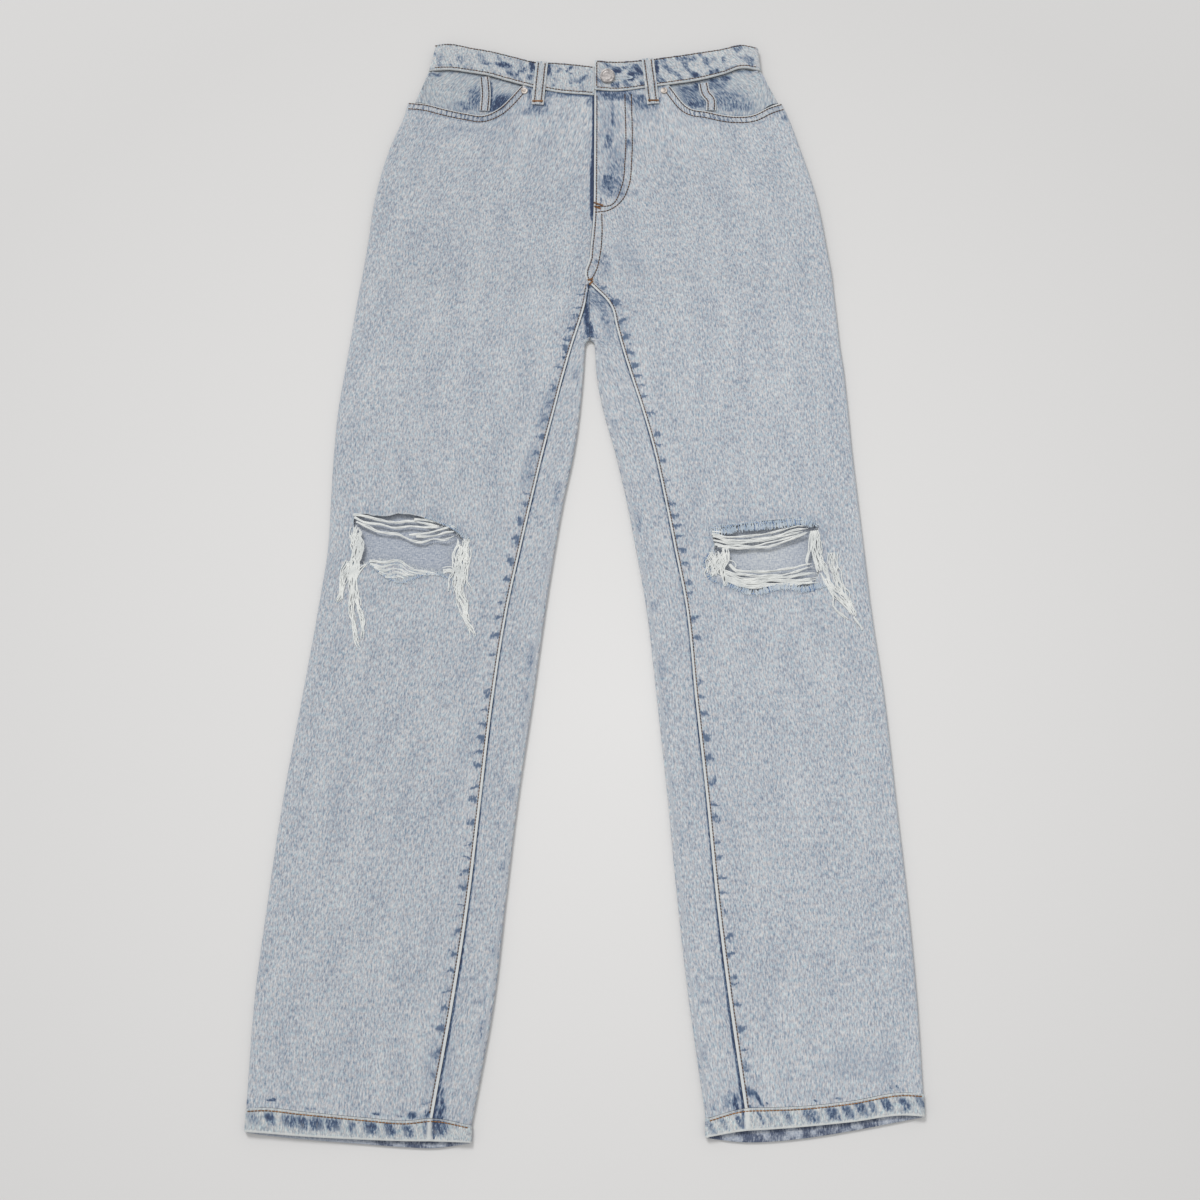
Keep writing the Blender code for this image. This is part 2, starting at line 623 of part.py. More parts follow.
def make_yoke(side):
    """Back yoke between the back panel and the waistband."""
    leg = LEGS[side]
    low_edge = lip_end(leg, 1) + (0.0, SEAM_GAP)
    outer = [low_edge, lip_end(leg, 0)]
    for t in FACING_ROWS[::-1]:
        point, normal = facing_edge(side, t)
        outer.append(point - normal * (SEAM_LIP + SEAM_GAP))
    stations = yoke_stations(side)
    rows = []
    for start in outer:
        t = (start[1] - low_edge[1]) / (outer[-1][1] - low_edge[1])
        row = []
        shares = (stations - stations[0]) / (stations[-1] - stations[0])
        for u, station in zip(shares, stations):
            x = station + (start[0] - stations[0]) * (1.0 - u)
            low = low_edge[1] + (YOKE_CENTRE_Y + SEAM_GAP - low_edge[1]) * u
            high = waist(station, "seam_y", "back") + hidden_back(station) - SEAM_GAP
            high += (outer[-1][1] - high) * (1.0 - smoothstep(u, 0.0, 0.06))
            y = low + (high - low) * t
            row.append((x, y, back_z(x, y)))
        rows.append(row)
    add_object("yoke_" + side, Surface().grid(rows).thick(CLOTH), MATERIALS["cloth"])


# ---------------------------------------------------------------- pockets


FACING_ROWS = (0.0, 0.25, 0.5, 0.75, 1.0)
FACING_COLUMNS = (0.0, 0.08, 0.16, 0.3, 0.45, 0.6, 0.72, 0.86, 1.0)


def band_side(side):
    """The waistband's side fold, at its seam."""
    _, x, _, seam_y = LEFT_WAIST[0] if side == "left" else RIGHT_WAIST[-1]
    return np.array([x + BAND_OVERHANG[side], seam_y])


def facing_edge(side, t):
    """Outer fold and its normal from the waistband (t = 0) to the front (t = 1)."""
    leg = LEGS[side]
    run = leg.side[0] - leg.side[1]
    run /= np.linalg.norm(run)
    top = band_side(side) - (0.0, SEAM_GAP)
    low = leg.side[0] + run * MOUTH_GAP - (leg.sign * FACING_INSET[side], 0.0)
    straight = top - low
    turned = np.array([straight[1], -straight[0]]) * leg.sign
    normal = turned / np.linalg.norm(turned)
    normal = normal + (leg.side_normal[0] - normal) * smoothstep(t, 0.3, 1.0)
    return top + (low - top) * t, normal / np.linalg.norm(normal)


def facing_z(x, y, across):
    """Facing: level with the front at the side fold, under it further in."""
    return front_z(x, y) - FACING_DROP * smoothstep(across, 0.0, 0.14)


def facing_stations(side, t=0.0):
    """Columns of the facing across its mouth, from the side fold to the corner."""
    corner_x = POCKET[-1][POCKET_COLUMNS.index(side + "_x")]
    point, normal = facing_edge(side, t)
    start = fold_centre(point, normal)
    return start, [start[0] + (corner_x - start[0]) * u for u in FACING_COLUMNS]


def make_facing(side):
    """Denim facing that shows in the scooped mouth and wraps the side fold."""
    rows = []
    for t in FACING_ROWS:
        _, normal = facing_edge(side, t)
        centre, stations = facing_stations(side, t)
        lip = centre - normal * (SEAM_LIP - FOLD_RADIUS - CLOTH / 2)
        row = [(*p, back_z(*p)) for p in between(lip, centre, 2)[:-1]]
        row += fold_arc(centre, normal, back_z(*centre), front_z(*centre))[:-1]
        for u, x in zip(FACING_COLUMNS, stations):
            own = 1.0 - smoothstep(u, 0.0, 0.16)
            high = waist(x, "seam_y", side) - SEAM_GAP
            high += (centre[1] - high) * own * (1.0 if t == 0.0 else 0.0)
            low = pocket_y(x, side) - FACING_REACH * smoothstep(u, 0.14, 0.3)
            low += (centre[1] - low) * own
            y = high + (low - high) * t
            y += (centre[1] - y) * (1.0 if u == 0.0 else 0.0)
            row.append((x, y, facing_z(x, y, u)))
        rows.append(row)
    add_object("pocket_facing_" + side, Surface().grid(rows).thick(FACING), MATERIALS["cloth"])


def make_back_pocket(name, middle_x):
    """Five-sided patch under the seat, flat on the surface below."""
    rows = []
    for _, y, half in BACK_POCKET_ROWS:
        rows.append([(middle_x + half * k, y, STRIP / 2) for k in (-1.0, -0.5, 0.0, 0.5, 1.0)])
    add_object(name, Surface().grid(rows).thick(STRIP), MATERIALS["cloth"])


# ---------------------------------------------------------------- strips


def ribbon(path, halves, height, across=3):
    """Rows of a band of given half-widths along a path in plan."""
    path = np.asarray(path, float)
    run = np.gradient(path, axis=0)
    run /= np.linalg.norm(run, axis=1, keepdims=True)
    turned = np.stack([run[:, 1], -run[:, 0]], axis=1)
    rows = []
    for point, normal, half in zip(path, turned, np.broadcast_to(halves, (len(path),))):
        row = []
        for k in range(across + 1):
            x, y = point + normal * half * (1.0 - 2.0 * k / across)
            row.append((x, y, height(x, y)))
        rows.append(row)
    return rows


def resample(table, count):
    """Smooth path through a short table, at even steps."""
    table = np.asarray(table, float)
    run = np.concatenate([[0.0], np.cumsum(np.linalg.norm(np.diff(table[:, :2], axis=0), axis=1))])
    at = np.linspace(0.0, run[-1], count + 1)
    return np.stack([spline(run, table[:, k], at) for k in range(table.shape[1])], axis=1)


def band_top_z(x, y):
    """Outer face of whatever lies on top: the waistband, or a front below it."""
    on_band = front_band_z(x, y) + BAND / 2
    on_front = front_z(x, y) + CLOTH / 2
    side = "left" if x < centre_x(y) else "right"
    share = smoothstep(y - waist(x, "seam_y", side), -7.0, -0.5)
    return on_front + (on_band - on_front) * share


def make_front_loop(name, ends):
    rows = resample(ends, 10)

    def height(x, y):
        return band_top_z(x, y) + SEAM_GAP + STRIP / 2

    made = Surface().grid(ribbon(rows, LOOP_WIDTH / 2, height, 2)).thick(STRIP)
    add_object(name, made, MATERIALS["cloth"])


def make_back_loop(name, x):
    top = waist(x, "top_y", "back") - HIDE_BACK - SEAM_GAP
    path = [(x, top - BACK_LOOP_LENGTH * k / 3) for k in range(4)]

    def height(*_):
        return STRIP / 2

    rows = ribbon(path, LOOP_WIDTH / 2, height, 2)
    add_object(name, Surface().grid(rows).thick(STRIP), MATERIALS["cloth"])


def make_facing_strip(name, side, path):
    corner_x = POCKET[-1][POCKET_COLUMNS.index(side + "_x")]
    outer_x = LEGS[side].side[0, 0]

    def height(x, y):
        across = (x - outer_x) / (corner_x - outer_x)
        return facing_z(x, y, across) + (FACING + STRIP) / 2 + SEAM_GAP

    rows = ribbon(resample(path, 6), FACING_STRIP_WIDTH / 2, height, 2)
    add_object(name, Surface().grid(rows).thick(STRIP), MATERIALS["cloth"])


def make_bundle(name, table):
    rows = resample(table, 8)

    def height(x, y):
        return front_z(x, y) + (CLOTH + THREADS) / 2 + SEAM_GAP

    made = Surface().grid(ribbon(rows[:, :2], rows[:, 2], height, 2)).thick(THREADS)
    add_object(name, made, MATERIALS["threads"])


# ---------------------------------------------------------------- waistband, hems


def front_band_z(x, y):
    return lift(y) + 1.5 * BAND + BAND_GAP


def back_band_z(x, y):
    return lift(y) + BAND / 2


def band_stations(side):
    """Columns of the front band from the fly out, over the front and the facing."""
    leg = LEGS[side]
    start, end = fold_centre(leg.side[0], leg.side_normal[0])[0], leg.seam[0, 0]
    fronts = [start + (end - start) * u for u in front_columns(side)[len(POCKET) - 1:]]
    inward = [fronts[-1] + leg.sign * SEAM_GAP / 2] + fronts[-2:0:-1]
    return inward + facing_stations(side)[1][:0:-1]


def make_waistband():
    """One strip from its left end at the fly, round the back, to its right end."""
    rows = []
    low_z, high_z = back_band_z(0.0, WAIST_TO), front_band_z(0.0, WAIST_TO)
    reach = BAND / 2 + FOLD_RADIUS
    for t in (0.0, 0.5, 1.0):
        left = band_side("left")[0] + BAND_LEAN["left"] * t + reach
        right = band_side("right")[0] + BAND_LEAN["right"] * t - reach
        row = [(x, band_y(x, t, "left"), high_z) for x in band_stations("left")]
        row += fold_arc((left, band_y(left, t, "left")), (-1.0, 0.0), low_z, high_z)[::-1]
        under = [*yoke_stations("left")[:-1], centre_x(WAIST_TO), *yoke_stations("right")[-2::-1]]
        row += [(x, band_y(x, t, "back", hidden_back(x)), low_z) for x in under]
        row += fold_arc((right, band_y(right, t, "right")), (1.0, 0.0), low_z, high_z)
        row += [(x, band_y(x, t, "right"), high_z) for x in band_stations("right")[::-1]]
        rows.append(row)
    add_object("waistband", Surface().grid(rows).thick(BAND), MATERIALS["cloth"])


def hidden_back(x):
    """How far the back band's edges lie inside the front's, none at the side folds."""
    inside = min(x - band_side("left")[0], band_side("right")[0] - x)
    return HIDE_BACK * smoothstep(inside, 4.0, 30.0)


def band_y(x, t, side, drawn_in=0.0):
    """Height on the band between its seam (t = 0) and its top edge (t = 1)."""
    seam = waist(x, "seam_y", side) + drawn_in
    return seam + (waist(x, "top_y", side) - drawn_in - seam) * t


def make_hem(side):
    """Turned-up hem: a flattened ring on the leg's end."""
    leg = LEGS[side]
    r = len(leg.rows) - 1
    outer_n, fold_n = leg.side_normal[r], leg.fold_normal[-1]
    outer, fold = fold_centre(leg.side[r], outer_n), fold_centre(leg.fold[-1], fold_n)
    low = HEM / 2
    high = low + HEM + HEM_GAP

    def placed(points, column, t):
        """Points between the seam and the hem's lower edge."""
        edge = [hem_y(x, column, side) for x, _, _ in points]
        return [(x, y + (e - y) * t, z) for (x, y, z), e in zip(points, edge)]

    on_front = outer[0] + (leg.seam[r, 0] - outer[0]) * front_columns(side)
    on_strip = [x for x, _ in between(leg.seam[r], fold, STRIP_COLUMNS)[1:]]
    top = [(x, hem_y(x, "seam_y", side) - SEAM_GAP, high) for x in [*on_front, *on_strip]]
    bottom = [(x, y - SEAM_GAP, low) for x, y in between(fold, outer, 9)]
    inner = [(x, y - SEAM_GAP, z) for x, y, z in fold_arc(fold, fold_n, low, high)[::-1]]
    side_arc = [(x, y - SEAM_GAP, z) for x, y, z in fold_arc(outer, outer_n, low, high)]
    rows = [placed(top, "front_y", t) + placed(inner[1:-1], "back_y", t)
            + placed(bottom, "back_y", t) + placed(side_arc[1:-1], "front_y", t)
            for t in (0.0, 0.5, 1.0)]
    surface = Surface().grid(rows, closed=True)
    add_object("hem_" + side, surface.thick(HEM), MATERIALS["cloth"])


# ---------------------------------------------------------------- metal


def turned(profile, sides, place, tilt=0.0):
    """Solid of revolution about +Z from (radius, height) rows, tilted about X."""
    points = [(0.0, 0.0, profile[0][1])]
    for radius, height in profile:
        for k in range(sides):
            a = 2 * np.pi * k / sides
            points.append((radius * np.cos(a), radius * np.sin(a), height))
    points.append((0.0, 0.0, profile[-1][1]))
    faces = []
    for k in range(sides):
        n = (k + 1) % sides
        faces.append([0, 1 + n, 1 + k])
        for ring in range(len(profile) - 1):
            a, b = 1 + ring * sides, 1 + (ring + 1) * sides
            faces.append([a + k, a + n, b + n, b + k])
        last = 1 + (len(profile) - 1) * sides
        faces.append([len(points) - 1, last + k, last + n])
    points = np.array(points)
    c, s = np.cos(np.radians(tilt)), np.sin(np.radians(tilt))
    points = points @ np.array([[1, 0, 0], [0, c, s], [0, -s, c]])
    return points + np.array(place), faces


def make_button():
    x, y = BUTTON_AT
    tip = BUTTON_RADIUS * np.sin(np.radians(BUTTON_TILT))
    base = front_band_z(x, y) + BAND / 2 + SEAM_GAP
    r = BUTTON_RADIUS
    profile = [(r * 0.86, 0.0), (r, 0.5), (r, 1.3), (r * 0.9, 2.0), (r * 0.82, 2.1),
               (r * 0.74, 1.7), (r * 0.3, 1.9)]
    made = turned(profile, 24, (x, y, base + tip), BUTTON_TILT)
    add_object("button", made, MATERIALS["metal"])


def make_rivet(name, place):
    x, y = place
    base = front_z(x, y) + CLOTH / 2 + SEAM_GAP
    r = RIVET_RADIUS
    profile = [(r, 0.0), (r, 0.4), (r * 0.8, 0.9), (r * 0.35, RIVET_RISE)]
    add_object(name, turned(profile, 14, (x, y, base)), MATERIALS["metal"])


# ---------------------------------------------------------------- build


def centre_garment():
    """Bring the origin under the middle of the whole garment."""
    for made in bpy.context.scene.objects:
        made.location = (MIDDLE[0] * MM, MIDDLE[1] * MM, 0.0)


for old in list(bpy.data.objects):
    bpy.data.objects.remove(old, do_unlink=True)

MATERIALS = {
    "cloth": material("cloth", (0.48, 0.53, 0.58), 0.95),
    "threads": material("threads", (0.80, 0.79, 0.76), 0.95),
    "metal": material("metal", (0.62, 0.60, 0.56), 0.45, 1.0),
}

for garment_side in ("left", "right"):
    make_front(garment_side, LEFT_HOLE if garment_side == "left" else RIGHT_HOLE)
    make_back(garment_side)
    make_yoke(garment_side)
    make_facing(garment_side)
    make_facing_strip("facing_strip_" + garment_side, garment_side,
                      FACING_STRIPS["facing_strip_" + garment_side])
    make_hem(garment_side)
make_waistband()
for loop_name, loop_ends in FRONT_LOOPS.items():
    make_front_loop(loop_name, loop_ends)
for loop_name, loop_x in BACK_LOOPS.items():
    make_back_loop(loop_name, loop_x)
for pocket_name, pocket_x in BACK_POCKETS.items():
    make_back_pocket(pocket_name, pocket_x)
for bundle_name, bundle_table in BUNDLES.items():
    make_bundle(bundle_name, bundle_table)
make_button()
for rivet_name, rivet_place in RIVETS.items():
    make_rivet(rivet_name, rivet_place)
centre_garment()
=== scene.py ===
"""Ripped straight-leg jeans, laid flat with the front up: how they look.

Lengths are in millimetres in the part's own tables, whose origin is brought under
the middle of the garment by MIDDLE; +X is the right of the picture, +Y the waist.
Each cloth piece is a fine grid on the form of its CAD solid, thickened, with
  UV "grain"  where a point lies across and along the cloth's warp,
  UV "seam"   its distance from the nearest stitched seam and its count of puckers,
  "wash"  red: roping along a seam, green: worn white and painted light,
            blue: unfaded indigo and painted shade, alpha: the cloth's inner face.
"""

import bpy
import numpy as np
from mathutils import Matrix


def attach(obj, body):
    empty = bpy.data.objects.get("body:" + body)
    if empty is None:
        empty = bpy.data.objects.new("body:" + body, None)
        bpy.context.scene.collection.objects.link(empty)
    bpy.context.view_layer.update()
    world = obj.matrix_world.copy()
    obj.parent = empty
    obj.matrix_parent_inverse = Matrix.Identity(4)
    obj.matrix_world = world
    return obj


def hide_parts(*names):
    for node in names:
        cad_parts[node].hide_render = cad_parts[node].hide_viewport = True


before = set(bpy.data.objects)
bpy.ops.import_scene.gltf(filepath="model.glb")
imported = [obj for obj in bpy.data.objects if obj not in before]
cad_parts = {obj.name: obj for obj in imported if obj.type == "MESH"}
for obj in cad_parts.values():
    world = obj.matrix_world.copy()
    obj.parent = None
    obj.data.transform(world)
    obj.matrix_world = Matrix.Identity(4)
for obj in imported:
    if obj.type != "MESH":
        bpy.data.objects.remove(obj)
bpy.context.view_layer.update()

MM = 0.001
MIDDLE = np.array([-0.600, -0.331, 0])          # moves the tables' origin

# ---------------------------------------------------------------- tables

# Walls, seams and the air between the two layers
CLOTH, BAND, HEM, FACING, STRIP = 1.4, 2.6, 2.6, 1.2, 1.4
SEAM_GAP, SEAM_LIP, FOLD_RADIUS = 0.3, 8, 1.8
EDGE_GAP, HEM_GAP, BAND_GAP, MIDDLE_GAP, FLAT_RUN = 2.2, 1.2, 1.4, 3.4, 45
HIP_LIFT, LIFT_FROM, LIFT_TO = 1.8, 268, 300
WAIST_FROM, WAIST_TO = 420, 490

# Places: the centre seam and its lean, where fly and inseams meet, the yokes' low edge
CENTRE_X, CROTCH_Y, LEAN_X = 3.9, 219.7, 0.0155
JUNCTION_X, JUNCTION_Y = 2.9, 279
FLY_X, LAP_X = 8, 7.9                           # the fly's edge, the band's end
YOKE_SIDE_Y, YOKE_CENTRE_Y = 468, 442

# Stitches: rows' distances from the edge or seam that they follow
THREAD_LIFT, STRIP_THREAD_LIFT, UNDER_LIFT = 0.1, 0.14, -0.05
TOP_PITCH, UNDER_RADIUS, TACK_REACH = 2.9, 0.3, 0.8
BAND_STITCH, BAND_TOP_STITCH, BAND_END_X = 2.4, 1.5, 10.4
LOOP_STITCH, BACK_LOOP_STITCH, FACING_STRIP_STITCH = 3.4, 3.7, 3.2
YOKE_STITCHES, SEAT_STITCHES = (1.9, 7.6), (2.2, 7.8)
POCKET_STITCHES, POCKET_HEM_STITCHES, HEM_STITCH = (1.8, 7.6), (3, 12), 2.8
BUTTONHOLE_AT, BUTTONHOLE_REACH = (36, 507), 9

# Values of the maps: no seam near; where the grain of the back and of its strip starts;
# the band's width for wear and for grain
NO_SEAM, BACK_GRAIN, STRIP_GRAIN, BAND_WIDTH, BAND_GRAIN = 99, 400, 700, 33, 40

# The look: light, camera and floor, in metres and degrees where not in the tables' mm
CAMERA_AT, CAMERA_TILT, CAMERA_LENS = (13.65, -694.25, 1997.22), 18, 67.2
SKY, LAMP_AT, LAMP_SIZE, LAMP_WATTS = 0.66, (-2.6, 4.6, 6.8), 2.6, 332
FLOOR_REACH, FLOOR_DROP = 4, 0.0003
# the floor's colour, with painted light: brightest in the middle, dimmer at the edge
FLOOR_LIT_MIDDLE, FLOOR_DIM_EDGE = (229, 228, 227), (211, 210, 209)

LEG_COLUMNS = ("level", "side_x", "side_y", "seam_x", "seam_y", "fold_x", "fold_y")
LEFT_LEG = [
    ("pocket", -179.8, 479.6, 7.9, 489, None, None),
    ("yoke", -182.4, 468, 7.9, 476, None, None),
    ("fly", -196.8, 427.6, 7.7, 412, None, None),
    ("seat", -209.8, 371.7, 7, 352.4, None, None),
    ("hip", -215.8, 316.6, 3.6, 308, None, None),
    ("junction", -220.3, 284, 2.9, 279, None, None),
    ("under junction", -220.9, 280.5, 2.3, 275.5, None, None),
    ("rise", -224.6, 254, -1.6, 253, None, None),
    ("low rise", -227.2, 233, -7.6, 232, None, None),
    ("crotch", -229.2, 217, -12.2, 217, 3.9, 219.7),
    ("round", -230.7, 206, -15.2, 206, 0.2, 216.6),
    ("under crotch", -232.6, 191, -19.2, 190.5, -1.2, 205),
    ("gusset", -234.8, 174, -23.6, 173, -2.6, 181),
    ("thigh", -237.4, 154, -28.2, 153, -4.8, 154),
    ("mid thigh", -240.6, 104, -40, 103, -10.9, 104),
    ("over knee", -241.8, 53, -51, 52, -20.8, 53),
    ("knee", -243, 3, -61.4, 2, -28.9, 3),
    ("under knee", -248.6, -46.3, -71.2, -47.6, -36, -46.3),
    ("calf", -261.6, -143.3, -84.9, -144.4, -48.2, -143.3),
    ("low calf", -274.7, -237.6, -94.4, -238.5, -60.9, -237.6),
    ("shin", -284.2, -329.2, -103.6, -330, -70.7, -329.2),
    ("ankle", -292, -418.4, -115.7, -420, -80.1, -420),
    ("hem seam", -294.8, -512.5, -132, -521, -98, -527),
]
RIGHT_LEG = [
    ("pocket", 197, 478.6, 7.9, 489, None, None),
    ("yoke", 201.2, 468, 7.9, 476, None, None),
    ("fly", 214, 427.6, 7.7, 412, None, None),
    ("seat", 228.9, 371.7, 7, 352.4, None, None),
    ("hip", 237.2, 316.6, 3.6, 308, None, None),
    ("junction", 241.6, 284, 2.9, 279, None, None),
    ("under junction", 241.9, 280.5, 6.4, 275.5, None, None),
    ("rise", 244, 254, 24.5, 254, None, None),
    ("low rise", 245.4, 233, 29.4, 233, None, None),
    ("crotch", 246.5, 217, 33.3, 217, 3.9, 219.7),
    ("round", 247.6, 206, 36.2, 206, 7.6, 216.6),
    ("under crotch", 249.4, 191, 40.6, 190.5, 9, 205),
    ("gusset", 250.6, 174, 45.8, 173, 10.4, 181),
    ("thigh", 252, 154, 51.9, 153, 15, 154),
    ("mid thigh", 254.8, 104, 65.2, 103, 27.6, 104),
    ("over knee", 258.7, 53, 75.3, 52, 38.8, 53),
    ("knee", 262.6, 3, 84.2, 2, 47.6, 3),
    ("under knee", 266.4, -46.3, 93, -47.6, 55.8, -46.3),
    ("calf", 276.4, -143.3, 101.6, -144.4, 66.2, -143.3),
    ("low calf", 283.1, -237.6, 110.4, -238.5, 75.3, -237.6),
    ("shin", 289.7, -329.2, 117.9, -330, 83, -329.2),
    ("ankle", 294.2, -418.4, 127.6, -419.5, 92.4, -420),
    ("hem seam", 296, -499.7, 139.6, -512.5, 105.6, -520.8),
]
FINE_ROWS = [(600, 1.5), (464, 1.9), (330, 3.2), (70, 2.2), (-60, 3.4), (-440, 1.6)]

WAIST_COLUMNS = ("place", "x", "top_y", "seam_y")
LEFT_WAIST = [
    ("side", -158, 544.2, 515.4),
    ("hip", -140, 546.6, 516.6),
    ("pocket", -116, 541.8, 513.3),
    ("dip", -97, 538, 509.6),
    ("over dip", -80, 533.4, 504.2),
    ("loop", -52, 525.8, 496),
    ("inside", -28, 524.4, 490.8),
    ("end", 8, 520.4, 487.6),
]
RIGHT_WAIST = [
    ("end", 8, 527.2, 493.6),
    ("buttonhole", 30, 526, 492.2),
    ("loop", 58, 528, 495.8),
    ("dip", 85, 531.8, 500),
    ("pocket", 114, 536.6, 504.8),
    ("over pocket", 138, 540.8, 511.6),
    ("hip", 158, 545.4, 518.6),
    ("side", 176, 541, 515.6),
]
BAND_OVERHANG = {"left": -2, "right": 0.6}      # side folds at the seam, past the table
BAND_LEAN = {"left": 7, "right": -2.4}          # and their lean in up to the top edge
HIDE_BACK = 2

POCKET_COLUMNS = ("place", "left_x", "left_y", "right_x", "right_y")
POCKET = [
    ("side", -179.8, 479.6, 197, 478.6),
    ("outer", -162, 477.6, 184, 474),
    ("run", -144, 472.4, 168, 465.4),
    ("low", -120, 466.7, 148, 463.6),
    ("turn", -104, 464.6, 122, 468.8),
    ("rise", -89, 471.8, 100, 476),
    ("corner", -65, 499.4, 84, 498.8),
]
CORNER_X = {"left": -65, "right": 84}
FACING_REACH, FACING_DROP = 7, 1.75
FACING_INSET = {"left": 7, "right": 3.4}
MOUTH_GAP, MOUTH_BLEND = 0.4, 110
MOUTH_STITCHES = (1.5, 7.4)

HEM_COLUMNS = ("x", "seam_y", "front_y", "back_y")
LEFT_HEM = [
    (-294.8, -512.5, -532.6, -532.6),
    (-280, -511.8, -533.6, -534.8),
    (-247, -515, -536.2, -538.2),
    (-190, -520.4, -539.2, -542.6),
    (-155, -523, -540.4, -545.2),
    (-132, -521, -540.6, -546),
    (-98, -527, -541.8, -541.8),
]
RIGHT_HEM = [
    (105.6, -521.5, -537.4, -537.4),
    (139.6, -512.5, -531.8, -541),
    (160, -511.8, -530.6, -540.6),
    (187, -510.8, -528.6, -538.2),
    (231, -506.4, -524.4, -531.6),
    (280, -498.9, -518.6, -522.6),
    (296, -499.7, -519.6, -519.6),
]

# The tears: x, upper edge, lower edge
LEFT_HOLE = [(-219, 36, 28), (-211, 39, -13), (-203, 37.2, -9.5), (-190, 36.4, -8),
             (-177, 38.8, -7.6), (-163, 37.2, -14.6), (-147, 33, -18), (-133, 28, -20),
             (-122, 21.6, -21), (-115.5, 15, -4)]
RIGHT_HOLE = [(120, 25.6, 14), (130, 27, -28), (141, 28, -36), (151, 28.8, -40),
              (162, 30.4, -40.4), (177, 32, -36), (190, 33.4, -35), (202, 33.8, -34.8),
              (212, 31.4, -33.4), (220, 27, -16)]
HOLES = {"left": LEFT_HOLE, "right": RIGHT_HOLE}

# Belt loops by their middle line or x, facing strips by their middle line
FRONT_LOOPS = {"belt_loop_front_left": [(-45, 524.4), (-49.2, 476.4)],
               "belt_loop_front_right": [(61.8, 528.2), (67.3, 477.2)]}
BACK_LOOPS = {"belt_loop_back_left": -88, "belt_loop_back_middle": 8,
              "belt_loop_back_right": 104}
LOOP_WIDTH, BACK_LOOP_LENGTH = 12, 48
FACING_STRIPS = {"left": [(-103.3, 508.7), (-101.6, 490), (-102.6, 470)],
                 "right": [(117.8, 501.5), (120.4, 489.5), (125, 483), (125.4, 470.5)]}
FACING_STRIP_WIDTH = 10

# Back pockets by their middle x; their outline as y, half-width
BACK_POCKETS = {"back_pocket_left": -104, "back_pocket_right": 118}
BACK_POCKET_ROWS = [(432, 76), (370, 72), (318, 68), (300, 2)]
BUTTON_AT, BUTTON_RADIUS, BUTTON_TILT = (21.2, 507.4), 7.5, 14
RIVETS = {"rivet_left": (-62.6, 492.4), "rivet_right": (78.2, 492.6)}

# Soft folds of the fronts: from x, y to x, y, half-width, rise
CREASES = [
    (12, 300, 38, 236, 16, -0.9), (-10, 300, -60, 262, 18, -0.6), (60, 300, 130, 250, 22, 0.5),
    (-212, 330, -150, 300, 18, 0.5), (-200, -90, -150, -70, 18, 0.6),
    (150, -80, 215, -96, 18, 0.5), (-250, -250, -190, -262, 20, -0.5),
    (180, -300, 240, -290, 20, -0.5),
]
FINE_CREASES = [
    (14, 296, 30, 262, 5, -0.9), (30, 300, 52, 262, 9, 0.6), (16, 330, 20, 300, 5, -0.5),
    (26, 326, 60, 290, 7, 0.3), (-8, 292, -34, 274, 7, 0.35), (-6, 276, -40, 246, 8, -0.4),
    (-20, 330, -80, 316, 10, 0.25), (70, 250, 130, 226, 11, -0.3), (-60, 200, -130, 176, 13, 0.3),
    (90, 190, 150, 182, 12, 0.3), (-225, 250, -170, 232, 11, -0.3),
    (236, 290, 190, 276, 11, 0.35), (-236, 76, -180, 62, 9, 0.35), (-120, 70, -90, 44, 9, -0.3),
    (130, 62, 200, 54, 9, 0.35), (250, 40, 226, 16, 8, -0.35), (-230, -40, -190, -58, 9, -0.35),
    (-110, -44, -84, -60, 8, 0.3), (120, -60, 170, -70, 9, -0.35), (262, -80, 214, -70, 9, 0.3),
    (-254, -130, -190, -150, 12, 0.3), (150, -150, 220, -170, 12, 0.3),
    (-270, -330, -200, -350, 12, 0.3), (150, -380, 200, -396, 11, 0.3),
    (286, -420, 240, -440, 10, 0.3), (-230, -470, -180, -486, 9, 0.3),
]
